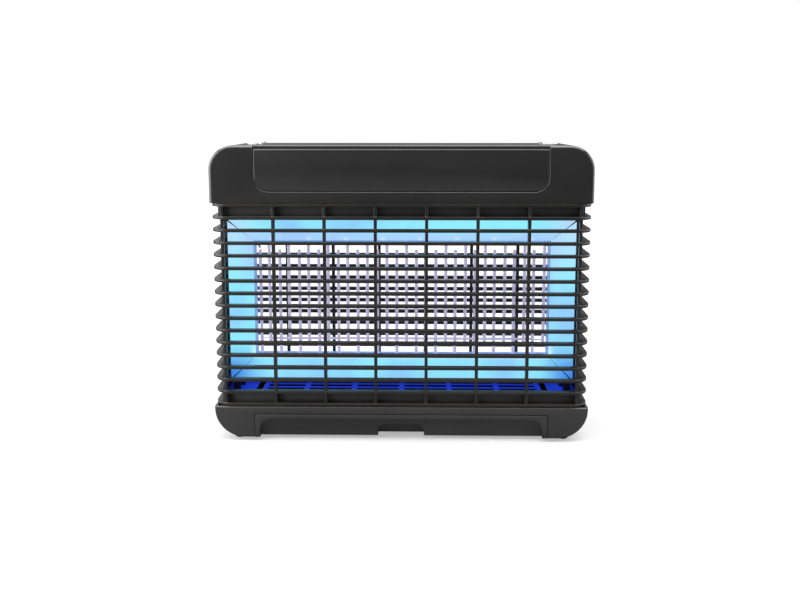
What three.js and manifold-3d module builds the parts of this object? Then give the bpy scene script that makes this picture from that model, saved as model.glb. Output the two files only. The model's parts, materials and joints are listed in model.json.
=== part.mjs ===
// Electric bug zapper: a free-standing or hanging insect killer. A slatted cage stands between a
// base with a slide-out collection tray and a top housing with the electronics. Inside the cage,
// lit diffuser panels slope towards two interleaved high-voltage combs.
// Millimetres, +Z up, front towards -Y, origin on the floor under the middle of the object.

import * as THREE from 'three';
import { ConvexGeometry } from 'three/addons/geometries/ConvexGeometry.js';
import { mergeVertices } from 'three/addons/utils/BufferGeometryUtils.js';
import Module from 'manifold-3d';

const wasm = await Module();
wasm.setup();

// ---- Driving dimensions -------------------------------------------------------------------

const WIDTH = 335;
const DEPTH = 90;
const GAP = 0.3; // between fixed neighbours
const SEAM = 0.5; // between the cage and the casings above and below it
const SLIDE = 0.5; // round sliding pieces
const PAST = 1; // cutters reach this far past the faces they cut
const BITE = 0.5; // joined pieces reach this far into each other

const FOOT_HEIGHT = 3;
const FOOT_RADIUS = 5;
const FOOT_CHAMFER = 1;
const FOOT_PLUG = 4.6; // how far a foot goes up into its socket
const FOOT_INSET_X = 20.5; // foot axis from the side of the object
const FOOT_INSET_Y = 12;

const BASE_HEIGHT = 28.6;
const BASE_CORNER = 26.5;
const CASING_WALL = 2.5;

const SLAT_COUNT = 17; // with the two rims
const SLAT_PITCH = 11.22;
const SLAT_HEIGHT = 2.8;
const SLAT_FRONT = 6; // plan depth of a slat along the front
const SLAT_SIDE = 8.1; // plan depth of a slat along the side
const RIM_SIDE = 6.2; // plan depth of the two rims along the side
const SLAT_CORNER = 15;
const BAR_PITCH = 44.85;
const BAR_WIDTH = 2.8;
const END_BAR_INSET = 10.5; // axis of the end bars from the side of the object
const BAR_INSET = 0.3; // bars behind the slat fronts
const SIDE_BAR_INSET = 2.9;

const HOUSING_HEIGHT = 50.1;
const HOUSING_CORNER = 21.5;
const HOUSING_EDGE = 3; // rounding along front and back of the housing
const SADDLE_INSET = 39.5; // ends of the saddle from the sides of the object
const SADDLE_DROP = 39.7; // from the top of the housing to the lower edge of the saddle
const SADDLE_CORNER = 12.4;
const SADDLE_WALL = 2.2;
const SADDLE_STEP = 1.6; // ledge along the upper edge of the saddle
const SADDLE_STEP_DROP = 3.4;
const CORE_CHAMFER = 3; // upper edges of the housing under the saddle

const TRAY_INSET = 36; // ends of the tray from the sides of the object
const TRAY_TOP = 24.3;
const TRAY_WALL = 2;
const TRAY_FLANGE = 4; // how far the running flanges stand out
const TRAY_FRONT = 8.5; // thickness of the tray front
const TRAY_RECESS = 7; // depth of the arched recess in the tray front
const TRAY_LIP = 4.1; // height of the lip over the recess
const TRAY_TAB = 4.3; // width of the tabs beside the recess
const TRAY_ARCH = 11.5;
const NOTCH_HALF = 20.8;
const NOTCH_HEIGHT = 10.4;
const NOTCH_CORNER = 7;
const NOTCH_DEPTH = 9.5; // behind the recessed face

const FRAME_WALL = 2.4; // inner frames behind the first and last row of slats
const GRATE_ROWS = 5;
const GRATE_PITCH = 10.9;
const GRATE_SLOT = 6.3;
const GRATE_RIB = 5;
const GRATE_END_SLOT = 5.6;

const LIGHT_INSET = 27; // light frame behind the front and before the rear of the object
const LIGHT_WALL = 1.4;
const LIGHT_BOTTOM = 14.5; // light frame above the foot of the cage
const LIGHT_TOP = 15.8; // light frame below the top of the cage
const DIFFUSER = 1.5; // thickness of a diffuser panel
const DIFFUSER_X = 20.4; // how far the side panels come inwards
const DIFFUSER_Z = 19.6; // how far the upper and lower panels come inwards
const RING_DEPTH = 10;
const RING_WALL = 1.5;
const COMB_SPACING = 9.08;
const COMB_BAR = 3;
const COMB_SHEET = 1.2;
const COMB_OFFSET = 2.4; // comb planes before and behind the middle
const COMB_TIP = 8; // free tips stop this far from the ring
const COMB_TIE = 1.6;
const TIE_FROM_TIP = 6;
const TIE_FROM_ROOT = 14;
const BUS_HEIGHT = 3;

const RING_WIRE = 1; // hanging rings: radius of the wire
const RING_REACH = 15;
const RING_HALF = 7.5;
const RING_STRAIGHT = 4; // straight run beside the hinge
const RING_BEND = 3; // where the rounding passes its corner, from the end of the ring
const RING_PIVOT_INSET = 2; // pivot inwards of the end of the saddle
const RING_PIVOT_RISE = 0.6; // pivot above the top of the housing
const POCKET_HALF = 10.5;
const POCKET_DEPTH = 0.9;
const POCKET_MARGIN = 3; // round the folded ring
const STRAP = 0.7; // sheet of the hinge brackets
const BRACKET_HALF = 2.2;
const KNUCKLE = 4; // half length of the hinge knuckle
const HINGE_CUT = 4; // half width of the cut in the saddle round the hinge

const SWITCH_WIDTH = 13;
const SWITCH_HEIGHT = 19;
const SWITCH_INSET = 19.5; // switch and gland from the side of the object
const SWITCH_RISE = 26; // switch and gland above the lower edge of the housing
const NICHE_HALF = 12.5; // niches that take switch and gland
const NICHE_DEPTH = 5;
const ROCKER_TILT = 9; // degrees
const ROCKER_AXIS = 1.2; // axis of the rocker in front of the face of its niche
const FLANGE_RIM = 1.6; // flange of the switch round its body
const FLANGE_THICK = 1.5;
const SWITCH_WALL = 1.2;
const SWITCH_LENGTH = 14; // behind the face of its niche
const WELL_DEPTH = 7;
const ROCKER_GAP = 0.5; // beside the rocker
const ROCKER_ENDS = 0.8; // above and below it
const GLAND_RADIUS = 7;
const GLAND_STEM = 5;
const GLAND_BORE = 3.4;
const GLAND_LENGTH = 4.5; // in front of the face of its niche
const GLAND_TAIL = 6; // behind it
const SCREW_HEAD = 3;
const SCREW_SHANK = 1.5;
const BASE_HEAD = 2; // height of the base screws' heads
const REAR_HEAD = 1.2; // height of the heads sunk in the rear faces
const REAR_SUNK = 0.1; // how far they lie below the face
const LUG_INSET = 28.5; // lugs of the upper frame from the side of the object
const LUG_HEIGHT = 9;
const LUG_HALF = 4;
const LUG_THICK = 3;
const LEAD = 0.9; // radius of the insulated leads
const LEAD_ROOM = 1.2; // round a lead in the holes that it passes
const LEAD_INSET = 1.2; // leads inwards of the outside of the grid ring
const LEAD_BESIDE = 2; // left lead passes the ring this far outwards of the first comb bar
const LEAD_SWING = 0.8; // and this far behind the middle

// ---- Levels and planes worked out from them -----------------------------------------------

const HALF_W = WIDTH / 2;
const HALF_D = DEPTH / 2;
const SADDLE_HALF = HALF_W - SADDLE_INSET;
const TRAY_HALF = HALF_W - TRAY_INSET;
const LIGHT_Y = HALF_D - LIGHT_INSET;
const SWITCH_X = HALF_W - SWITCH_INSET;
const LUG_X = HALF_W - LUG_INSET;
const RING_PIVOT_X = SADDLE_HALF - RING_PIVOT_INSET;
const NICHE_FACE = HALF_D - NICHE_DEPTH;
const BASE_TOP = FOOT_HEIGHT + BASE_HEIGHT;
const CAGE_BOTTOM = BASE_TOP + SEAM;
const CAGE_TOP = CAGE_BOTTOM + (SLAT_COUNT - 1) * SLAT_PITCH + SLAT_HEIGHT;
const HOUSING_BOTTOM = CAGE_TOP + SEAM;
const HOUSING_TOP = HOUSING_BOTTOM + HOUSING_HEIGHT;
const INNER_X = HALF_W - RIM_SIDE - GAP; // outside of the inner frames
const INNER_Y = HALF_D - SLAT_FRONT - GAP;
const PLATE = SLAT_HEIGHT - GAP; // thickness of the inner frames' plates
const LOWER_PLATE_TOP = CAGE_BOTTOM + PLATE;
const UPPER_PLATE_BOTTOM = CAGE_TOP - PLATE;
const LIGHT_X = HALF_W - SLAT_SIDE - GAP;
const LIGHT_Z0 = CAGE_BOTTOM + LIGHT_BOTTOM;
const LIGHT_Z1 = CAGE_TOP - LIGHT_TOP;
const PANEL_X = LIGHT_X - LIGHT_WALL - GAP;
const PANEL_Z0 = LIGHT_Z0 + LIGHT_WALL + GAP;
const PANEL_Z1 = LIGHT_Z1 - LIGHT_WALL - GAP;
const APEX_X = PANEL_X - DIFFUSER_X;
const APEX_Z0 = PANEL_Z0 + DIFFUSER_Z;
const APEX_Z1 = PANEL_Z1 - DIFFUSER_Z;
const RING_X = APEX_X - GAP;
const RING_Z0 = APEX_Z0 + GAP;
const RING_Z1 = APEX_Z1 - GAP;
const SADDLE_BOTTOM = HOUSING_TOP - SADDLE_DROP;
const CORE_Y = HALF_D - SADDLE_WALL - GAP; // housing under the saddle
const CORE_TOP = HOUSING_TOP - SADDLE_WALL - GAP;
const BAY_HALF = TRAY_HALF + GAP;
const FOOT_X = HALF_W - FOOT_INSET_X;
const FOOT_Y = HALF_D - FOOT_INSET_Y;
const PIVOT_Z = HOUSING_TOP + RING_PIVOT_RISE;
const SWITCH_Z = HOUSING_BOTTOM + SWITCH_RISE;

// ---- Materials ----------------------------------------------------------------------------

const finish = (color, roughness, metalness = 0) => ({ color, roughness, metalness });
const BLACK_ABS = finish(0x2c2c2e, 0.42);
const CAGE_ABS = finish(0x303032, 0.36);
const TRAY_ABS = finish(0x3a3a3c, 0.46);
const DARK_FRAME = finish(0x232325, 0.55);
const RUBBER = finish(0x1b1b1c, 0.85);
const DIFFUSER_BLUE = finish(0x9ae6fb, 0.3);
const CLEAR_RING = finish(0xbfe3f4, 0.25);
const STEEL = finish(0xc9c9d2, 0.28, 1);
const DARK_STEEL = finish(0x4b4b50, 0.35, 1);
const BOARD_GREEN = finish(0x1f5a36, 0.5);
const LED_WHITE = finish(0xf0f3f6, 0.5);
const COPPER_TAPE = finish(0xb98a3e, 0.5);
const CAPACITOR = finish(0x27418f, 0.4);
const TERMINAL = finish(0xdedfd8, 0.5);
const LEAD_VIOLET = finish(0x5a3fa8, 0.45);
const LEAD_WHITE = finish(0xe7e7e5, 0.5);

// ---- Geometry helpers ---------------------------------------------------------------------

function solidOf(geometry) {
  const bare = geometry.clone();
  bare.deleteAttribute('normal');
  bare.deleteAttribute('uv');
  const merged = mergeVertices(bare, 1e-4);
  const vertProperties = new Float32Array(merged.attributes.position.array);
  const triVerts = new Uint32Array(merged.index.array);
  return new wasm.Manifold(new wasm.Mesh({ numProp: 3, vertProperties, triVerts }));
}

function geometryOf(solid) {
  const mesh = solid.getMesh();
  const geometry = new THREE.BufferGeometry();
  geometry.setAttribute('position', new THREE.BufferAttribute(mesh.vertProperties, 3));
  geometry.setIndex(new THREE.BufferAttribute(mesh.triVerts, 1));
  geometry.computeVertexNormals();
  return geometry;
}

function join(...solids) {
  return solids.reduce((whole, solid) => whole.add(solid));
}

function cut(solid, ...tools) {
  return tools.reduce((rest, tool) => rest.subtract(tool), solid);
}

function box(x0, x1, y0, y1, z0, z1) {
  const geometry = new THREE.BoxGeometry(x1 - x0, y1 - y0, z1 - z0);
  geometry.translate((x0 + x1) / 2, (y0 + y1) / 2, (z0 + z1) / 2);
  return solidOf(geometry);
}

// A box as wide to the left as to the right, or as deep to the front as to the back.
function slab(halfX, halfY, z0, z1) {
  return box(-halfX, halfX, -halfY, halfY, z0, z1);
}

// A rectangle whose corners have the radii given for bottom left, bottom right, top right, top left.
function roundedShape(x0, x1, z0, z1, [bl, br, tr, tl]) {
  const shape = new THREE.Shape();
  const corner = (x, z, r, start) => {
    if (r > 0) shape.absarc(x, z, r, start, start + Math.PI / 2);
    else shape.lineTo(x, z);
  };
  shape.moveTo(x0 + bl, z0);
  corner(x1 - br, z0 + br, br, -Math.PI / 2);
  corner(x1 - tr, z1 - tr, tr, 0);
  corner(x0 + tl, z1 - tl, tl, Math.PI / 2);
  if (bl > 0) corner(x0 + bl, z0 + bl, bl, Math.PI);
  return shape;
}

// The same outline points on the other side of the middle, in walking order.
function mirrored(points) {
  return points.map(([y, z]) => [-y, z]).reverse();
}

function polygon(points) {
  return new THREE.Shape(points.map(([a, b]) => new THREE.Vector2(a, b)));
}

function extrude(shape, depth, curveSegments) {
  return new THREE.ExtrudeGeometry(shape, { depth, bevelEnabled: false, curveSegments });
}

// The shape lies in XZ and is drawn out along Y.
function extrudeY(shape, y0, y1, curveSegments = 3) {
  const geometry = extrude(shape, y1 - y0, curveSegments);
  geometry.rotateX(Math.PI / 2);
  geometry.translate(0, y1, 0);
  return solidOf(geometry);
}

// The shape lies in YZ and is drawn out along X.
function extrudeX(shape, x0, x1, curveSegments = 3) {
  const geometry = extrude(shape, x1 - x0, curveSegments);
  const axes = new THREE.Matrix4().makeBasis(
    new THREE.Vector3(0, 1, 0),
    new THREE.Vector3(0, 0, 1),
    new THREE.Vector3(1, 0, 0),
  );
  geometry.applyMatrix4(axes);
  geometry.translate(x0, 0, 0);
  return solidOf(geometry);
}

// The shape lies in XY and is drawn out along Z.
function extrudeZ(shape, z0, z1, curveSegments = 2) {
  const geometry = extrude(shape, z1 - z0, curveSegments);
  geometry.translate(0, 0, z0);
  return solidOf(geometry);
}

function rod(axis, radius, from, to, sides = 16) {
  const length = from.distanceTo(to);
  const geometry = new THREE.CylinderGeometry(radius, radius, length, sides);
  if (axis === 'x') geometry.rotateZ(Math.PI / 2);
  if (axis === 'z') geometry.rotateX(Math.PI / 2);
  const middle = from.clone().add(to).multiplyScalar(0.5);
  geometry.translate(middle.x, middle.y, middle.z);
  return solidOf(geometry);
}

function rodX(radius, x0, x1, y, z, sides) {
  return rod('x', radius, new THREE.Vector3(x0, y, z), new THREE.Vector3(x1, y, z), sides);
}

function rodY(radius, x, y0, y1, z, sides) {
  return rod('y', radius, new THREE.Vector3(x, y0, z), new THREE.Vector3(x, y1, z), sides);
}

function rodZ(radius, x, y, z0, z1, sides) {
  return rod('z', radius, new THREE.Vector3(x, y, z0), new THREE.Vector3(x, y, z1), sides);
}

// A round tube or wire along the points, smooth or with straight runs.
function wire(points, radius, steps, sides = 6) {
  const places = points.map(([x, y, z]) => new THREE.Vector3(x, y, z));
  const path = new THREE.CatmullRomCurve3(places, false, 'centripetal');
  const section = new THREE.Shape();
  for (let i = 0; i < sides; i += 1) {
    const angle = (2 * Math.PI * i) / sides;
    const x = radius * Math.cos(angle);
    const y = radius * Math.sin(angle);
    if (i === 0) section.moveTo(x, y);
    else section.lineTo(x, y);
  }
  return new THREE.ExtrudeGeometry(section, { steps, extrudePath: path, bevelEnabled: false });
}

const zapper = new THREE.Group();

function add(name, solid, look) {
  const geometry = solid instanceof THREE.BufferGeometry ? solid : geometryOf(solid);
  const mesh = new THREE.Mesh(geometry, new THREE.MeshStandardMaterial(look));
  mesh.name = name;
  zapper.add(mesh);
  return mesh;
}

const SIDES = [['left', -1], ['right', 1]];
const ENDS = [['front', -1], ['rear', 1]];

function* corners() {
  for (const [end, sy] of ENDS) {
    for (const [side, sx] of SIDES) yield [`${end}_${side}`, sx, sy];
  }
}

// ---- Cage ---------------------------------------------------------------------------------

// Plan of the front half of a slat: along one side, round the corner, across the front and back.
function slatPlan(sideDepth) {
  const shape = new THREE.Shape();
  const seam = -GAP / 2;
  const arcX = HALF_W - SLAT_CORNER;
  const arcY = SLAT_CORNER - HALF_D;
  shape.moveTo(-HALF_W, seam);
  shape.lineTo(-HALF_W, arcY);
  shape.absarc(-arcX, arcY, SLAT_CORNER, Math.PI, 1.5 * Math.PI);
  shape.absarc(arcX, arcY, SLAT_CORNER, 1.5 * Math.PI, 2 * Math.PI);
  shape.lineTo(HALF_W, seam);
  shape.lineTo(HALF_W - sideDepth, seam);
  shape.lineTo(HALF_W - sideDepth, SLAT_FRONT - HALF_D);
  shape.lineTo(sideDepth - HALF_W, SLAT_FRONT - HALF_D);
  shape.lineTo(sideDepth - HALF_W, seam);
  return shape;
}

// How far the rounded corner of a slat has fallen back at a place x.
function cornerSetback(x) {
  const past = Math.max(0, Math.abs(x) - (HALF_W - SLAT_CORNER));
  return SLAT_CORNER - Math.sqrt(SLAT_CORNER ** 2 - Math.min(past, SLAT_CORNER) ** 2);
}

function barPlaces() {
  const end = HALF_W - END_BAR_INSET;
  const spaces = Math.max(1, Math.round((2 * end) / BAR_PITCH));
  return Array.from({ length: spaces + 1 }, (_, i) => -end + (2 * end * i) / spaces);
}

const BAR_BITE = 0.4; // bars end this far inside the slats

function cageHalf() {
  const low = CAGE_BOTTOM + BAR_BITE;
  const high = CAGE_TOP - BAR_BITE;
  const parts = [];
  for (let i = 0; i < SLAT_COUNT; i += 1) {
    const rim = i === 0 || i === SLAT_COUNT - 1;
    const z = CAGE_BOTTOM + i * SLAT_PITCH;
    parts.push(extrudeZ(slatPlan(rim ? RIM_SIDE : SLAT_SIDE), z, z + SLAT_HEIGHT));
  }
  for (const x of barPlaces()) {
    const front = -HALF_D + BAR_INSET + cornerSetback(Math.abs(x) + BAR_WIDTH / 2);
    const back = SLAT_FRONT - HALF_D - BAR_BITE;
    parts.push(box(x - BAR_WIDTH / 2, x + BAR_WIDTH / 2, front, back, low, high));
  }
  for (const [, s] of SIDES) {
    const outer = s * (HALF_W - SIDE_BAR_INSET);
    const inner = outer - s * BAR_WIDTH;
    const [x0, x1] = [Math.min(outer, inner), Math.max(outer, inner)];
    parts.push(box(x0, x1, -BAR_WIDTH, -GAP, low, high));
  }
  return join(...parts);
}

function addCage() {
  const half = geometryOf(cageHalf());
  add('front_cage', half, CAGE_ABS);
  add('rear_cage', half.clone(), CAGE_ABS).rotation.z = Math.PI;
}

// ---- Base, feet and tray ------------------------------------------------------------------

const BAY_TOP = TRAY_TOP + SLIDE;
const RAIL_DROP = 1.2; // running rails below the flanges
const RAIL_TOP = TRAY_TOP - TRAY_WALL - SLIDE - RAIL_DROP;
const RAIL_HEIGHT = 2.2;
const BOSS = 4.5; // radius of the screw bosses in the base
const BASE_SCREW_Y = 12;
const SOCKET_WALL = 2;
const BASE_FLOOR = FOOT_HEIGHT + CASING_WALL;

// Walls beside the tray, foot sockets and screw bosses.
function baseInsides() {
  const parts = SIDES.map(([, s]) => {
    const middle = s * (BAY_HALF + CASING_WALL / 2);
    return box(middle - CASING_WALL / 2, middle + CASING_WALL / 2,
      PAST - HALF_D, HALF_D - PAST, BASE_FLOOR - PAST, BASE_TOP - PAST);
  });
  for (const [, sx, sy] of corners()) {
    parts.push(rodZ(FOOT_RADIUS + GAP + SOCKET_WALL, sx * FOOT_X, sy * FOOT_Y,
      FOOT_HEIGHT, FOOT_HEIGHT + FOOT_PLUG + GAP + SOCKET_WALL, 12));
    parts.push(rodZ(BOSS, sx * FOOT_X, sy * BASE_SCREW_Y, BASE_FLOOR - PAST, BASE_TOP - PAST, 8));
  }
  return parts;
}

function baseHoles() {
  const holes = [];
  for (const [, sx, sy] of corners()) {
    holes.push(rodZ(FOOT_RADIUS + GAP, sx * FOOT_X, sy * FOOT_Y,
      FOOT_HEIGHT - PAST, FOOT_HEIGHT + FOOT_PLUG + GAP, 16));
    holes.push(rodZ(SCREW_SHANK + 2 * GAP, sx * FOOT_X, sy * BASE_SCREW_Y, 0, BASE_TOP + PAST, 8));
    holes.push(rodZ(SCREW_HEAD + 2 * GAP, sx * FOOT_X, sy * BASE_SCREW_Y, 0, BASE_FLOOR + BASE_HEAD, 10));
  }
  return holes;
}

function baseRails() {
  return SIDES.map(([, s]) => {
    const middle = s * (BAY_HALF - TRAY_FLANGE / 2);
    const half = TRAY_FLANGE / 2 + BITE / 2;
    return box(middle - half, middle + half, TRAY_FRONT - HALF_D + 2 * PAST, HALF_D - PAST,
      RAIL_TOP - RAIL_HEIGHT, RAIL_TOP);
  });
}

function addBase() {
  const r = BASE_CORNER;
  const inner = r - CASING_WALL;
  const x = HALF_W - CASING_WALL;
  const outerShape = roundedShape(-HALF_W, HALF_W, FOOT_HEIGHT, BASE_TOP, [r, r, 0, 0]);
  const innerShape = roundedShape(-x, x, BASE_FLOOR, BASE_TOP + PAST, [inner, inner, 0, 0]);
  const outer = extrudeY(outerShape, -HALF_D, HALF_D);
  const backWall = HALF_D - CASING_WALL;
  const hollow = extrudeY(innerShape, -backWall, backWall);
  const bay = box(-BAY_HALF, BAY_HALF, -HALF_D - PAST, backWall, 0, BAY_TOP);
  const shell = join(cut(outer, hollow), join(...baseInsides()).intersect(outer));
  add('base_shell', join(cut(shell, bay, ...baseHoles()), ...baseRails()), BLACK_ABS);
}

function addFeet() {
  const points = [
    [0, 0],
    [FOOT_RADIUS - FOOT_CHAMFER, 0],
    [FOOT_RADIUS, FOOT_CHAMFER],
    [FOOT_RADIUS, FOOT_HEIGHT + FOOT_PLUG],
    [0, FOOT_HEIGHT + FOOT_PLUG],
  ].map(([a, b]) => new THREE.Vector2(a, b));
  for (const [where, sx, sy] of corners()) {
    const geometry = new THREE.LatheGeometry(points, 16);
    geometry.rotateX(Math.PI / 2);
    geometry.translate(sx * FOOT_X, sy * FOOT_Y, 0);
    add(`foot_${where}`, solidOf(geometry), RUBBER);
  }
}

function screw(x, y, headZ, tipZ) {
  const head = Math.sign(tipZ - headZ) * BASE_HEAD;
  const [h0, h1] = [Math.min(headZ, headZ + head), Math.max(headZ, headZ + head)];
  const [s0, s1] = [Math.min(headZ + head / 2, tipZ), Math.max(headZ + head / 2, tipZ)];
  return join(rodZ(SCREW_HEAD, x, y, h0, h1, 12), rodZ(SCREW_SHANK, x, y, s0, s1, 6));
}

function addBaseScrews() {
  const headZ = BASE_FLOOR - GAP;
  for (const [where, sx, sy] of corners()) {
    const solid = screw(sx * FOOT_X, sy * BASE_SCREW_Y, headZ, BASE_TOP - PAST);
    add(`base_screw_${where}`, solid, DARK_STEEL);
  }
}

function addTray() {
  const front = -HALF_D;
  const bodyX = BAY_HALF - TRAY_FLANGE - SLIDE;
  const back = HALF_D - CASING_WALL - SLIDE;
  const floor = FOOT_HEIGHT;
  const panel = box(-TRAY_HALF, TRAY_HALF, front, front + TRAY_FRONT, floor, TRAY_TOP);
  const body = box(-bodyX, bodyX, front + TRAY_FRONT - BITE, back, floor, TRAY_TOP);
  const flangeX = TRAY_HALF - SLIDE;
  const flangeZ = TRAY_TOP - TRAY_WALL;
  const flange = box(-flangeX, flangeX, front + TRAY_FRONT - BITE, back, flangeZ, TRAY_TOP);
  const inside = box(-bodyX + TRAY_WALL, bodyX - TRAY_WALL, front + TRAY_FRONT,
    back - TRAY_WALL, floor + TRAY_WALL, TRAY_TOP + PAST);
  const archX = TRAY_HALF - TRAY_TAB;
  const arch = roundedShape(-archX, archX, floor - PAST, TRAY_TOP - TRAY_LIP,
    [0, 0, TRAY_ARCH, TRAY_ARCH]);
  const recess = extrudeY(arch, front - PAST, front + TRAY_RECESS);
  const grip = (grow) => roundedShape(-NOTCH_HALF - grow, NOTCH_HALF + grow, floor - PAST,
    floor + NOTCH_HEIGHT + grow, [0, 0, NOTCH_CORNER, NOTCH_CORNER]);
  const gripBack = front + TRAY_RECESS + NOTCH_DEPTH;
  const gripWall = extrudeY(grip(TRAY_WALL), front + TRAY_FRONT - BITE, gripBack + TRAY_WALL, 2)
    .intersect(body);
  const gripCut = extrudeY(grip(0), front - PAST, gripBack, 2);
  const shell = join(panel, cut(join(body, flange), inside), gripWall);
  add('collection_tray', cut(shell, recess, gripCut), TRAY_ABS);
}

// ---- Inner frames -------------------------------------------------------------------------

function grateHoles() {
  const holes = [];
  const places = barPlaces();
  const ribs = places.slice(2, -1).map((x, i) => (x + places[i + 1]) / 2);
  const rowSpan = ((GRATE_ROWS - 1) * GRATE_PITCH + GRATE_SLOT) / 2;
  const endRib = BAY_HALF - GRATE_RIB / 2;
  const bounds = [-endRib, ...ribs, endRib];
  for (let row = 0; row < GRATE_ROWS; row += 1) {
    const y = (row - (GRATE_ROWS - 1) / 2) * GRATE_PITCH;
    for (let i = 0; i < bounds.length - 1; i += 1) {
      const x0 = bounds[i] + GRATE_RIB / 2;
      const x1 = bounds[i + 1] - GRATE_RIB / 2;
      holes.push([x0, x1, y - GRATE_SLOT / 2, y + GRATE_SLOT / 2]);
    }
  }
  const endX = endRib + GRATE_RIB / 2;
  holes.push([endX, endX + GRATE_END_SLOT, -rowSpan, rowSpan]);
  holes.push([-endX - GRATE_END_SLOT, -endX, -rowSpan, rowSpan]);
  return holes;
}

function addLowerFrame() {
  const top = CAGE_BOTTOM + SLAT_PITCH - GAP;
  const holes = grateHoles().map(([x0, x1, y0, y1]) => (
    box(x0, x1, y0, y1, CAGE_BOTTOM - PAST, LOWER_PLATE_TOP + PAST)));
  const plate = cut(slab(INNER_X, INNER_Y, CAGE_BOTTOM, LOWER_PLATE_TOP), ...holes);
  const skirt = cut(
    slab(INNER_X, INNER_Y, CAGE_BOTTOM, top),
    slab(INNER_X - FRAME_WALL, INNER_Y - FRAME_WALL, CAGE_BOTTOM - PAST, top + PAST),
  );
  add('lower_frame', join(plate, skirt), DARK_FRAME);
}

const LEAD_HOLE_X = RING_X - LEAD_INSET;
const LEAD_PORT = LEAD + LEAD_ROOM;

function addUpperFrame() {
  const low = CAGE_TOP - SLAT_PITCH + GAP;
  const curtain = low - SLAT_HEIGHT / 2 - GAP;
  const plate = slab(INNER_X, INNER_Y, UPPER_PLATE_BOTTOM, CAGE_TOP);
  const skirt = cut(
    slab(INNER_X, INNER_Y, low, CAGE_TOP - BITE),
    slab(INNER_X - FRAME_WALL, INNER_Y - FRAME_WALL, low - PAST, CAGE_TOP),
  );
  const curtainX = LIGHT_X;
  const curtains = ENDS.map(([, s]) => {
    const y = s * (INNER_Y - FRAME_WALL / 2);
    return box(-curtainX, curtainX, y - FRAME_WALL / 2, y + FRAME_WALL / 2, curtain, low + BITE);
  });
  const lugs = SIDES.map(([, s]) => box(s * LUG_X - LUG_HALF, s * LUG_X + LUG_HALF,
    INNER_Y - LUG_THICK, INNER_Y, CAGE_TOP - BITE, HOUSING_BOTTOM + LUG_HEIGHT));
  const lugHoles = SIDES.map(([, s]) => rodY(SCREW_SHANK + GAP, s * LUG_X, 0, HALF_D,
    HOUSING_BOTTOM + LUG_HEIGHT / 2, 10));
  const ports = SIDES.map(([, s]) => rodZ(LEAD_PORT, s * LEAD_HOLE_X, 0,
    curtain, CAGE_TOP + PAST, 12));
  const solid = cut(join(plate, skirt, ...curtains, ...lugs), ...lugHoles, ...ports);
  add('upper_frame', solid, DARK_FRAME);
}

// ---- Top housing and saddle ---------------------------------------------------------------

function saddleOutline(grow) {
  return roundedShape(-SADDLE_HALF - grow, SADDLE_HALF + grow, SADDLE_BOTTOM - grow,
    HOUSING_TOP + PAST, [SADDLE_CORNER + grow, SADDLE_CORNER + grow, 0, 0]);
}

// The outline drawn through the whole depth, its front and rear edges rounded.
function edgedBlock(shape) {
  const geometry = new THREE.ExtrudeGeometry(shape, {
    depth: DEPTH - 2 * HOUSING_EDGE,
    bevelEnabled: true,
    bevelThickness: HOUSING_EDGE,
    bevelSize: HOUSING_EDGE,
    bevelOffset: -HOUSING_EDGE,
    bevelSegments: 2,
    curveSegments: 3,
  });
  geometry.rotateX(Math.PI / 2);
  geometry.translate(0, HALF_D - HOUSING_EDGE, 0);
  return solidOf(geometry);
}

// Hole and counterbore for a screw that goes in from the rear.
function screwSeat(x, z) {
  const floor = HALF_D - REAR_SUNK - REAR_HEAD - GAP;
  return [
    rodY(SCREW_SHANK + GAP, x, 0, HALF_D + PAST, z, 8),
    rodY(SCREW_HEAD + GAP, x, floor, HALF_D + PAST, z, 12),
  ];
}

// Wall behind the saddle's recess, thickened from the inside.
function saddleLiner(outer) {
  const wallY = CORE_Y - SADDLE_WALL;
  return extrudeY(saddleOutline(CASING_WALL), PAST - HALF_D, HALF_D - PAST)
    .intersect(outer)
    .subtract(slab(HALF_W, wallY, 0, CORE_TOP - SADDLE_WALL));
}

// Recess for the saddle, down to the core that it straddles.
function saddleSeat() {
  const side = [[CORE_Y, 0], [CORE_Y, CORE_TOP - CORE_CHAMFER], [CORE_Y - CORE_CHAMFER, CORE_TOP]];
  const core = extrudeX(polygon([...side, ...mirrored(side)]), -HALF_W, HALF_W);
  return extrudeY(saddleOutline(GAP), -HALF_D - PAST, HALF_D + PAST).subtract(core);
}

function ringPocket(s) {
  const middle = s * (RING_PIVOT_X + RING_REACH / 2);
  const half = RING_REACH / 2 + POCKET_MARGIN;
  return box(middle - half, middle + half, -POCKET_HALF, POCKET_HALF,
    HOUSING_TOP - POCKET_DEPTH, HOUSING_TOP + PAST);
}

// Niche in the rear face, grown on all sides where its walls are wanted.
function rearNiche(s, grow) {
  const half = NICHE_HALF + grow;
  return box(s * SWITCH_X - half, s * SWITCH_X + half, NICHE_FACE - grow, HALF_D + PAST,
    SWITCH_Z - half, SWITCH_Z + half);
}

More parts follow.
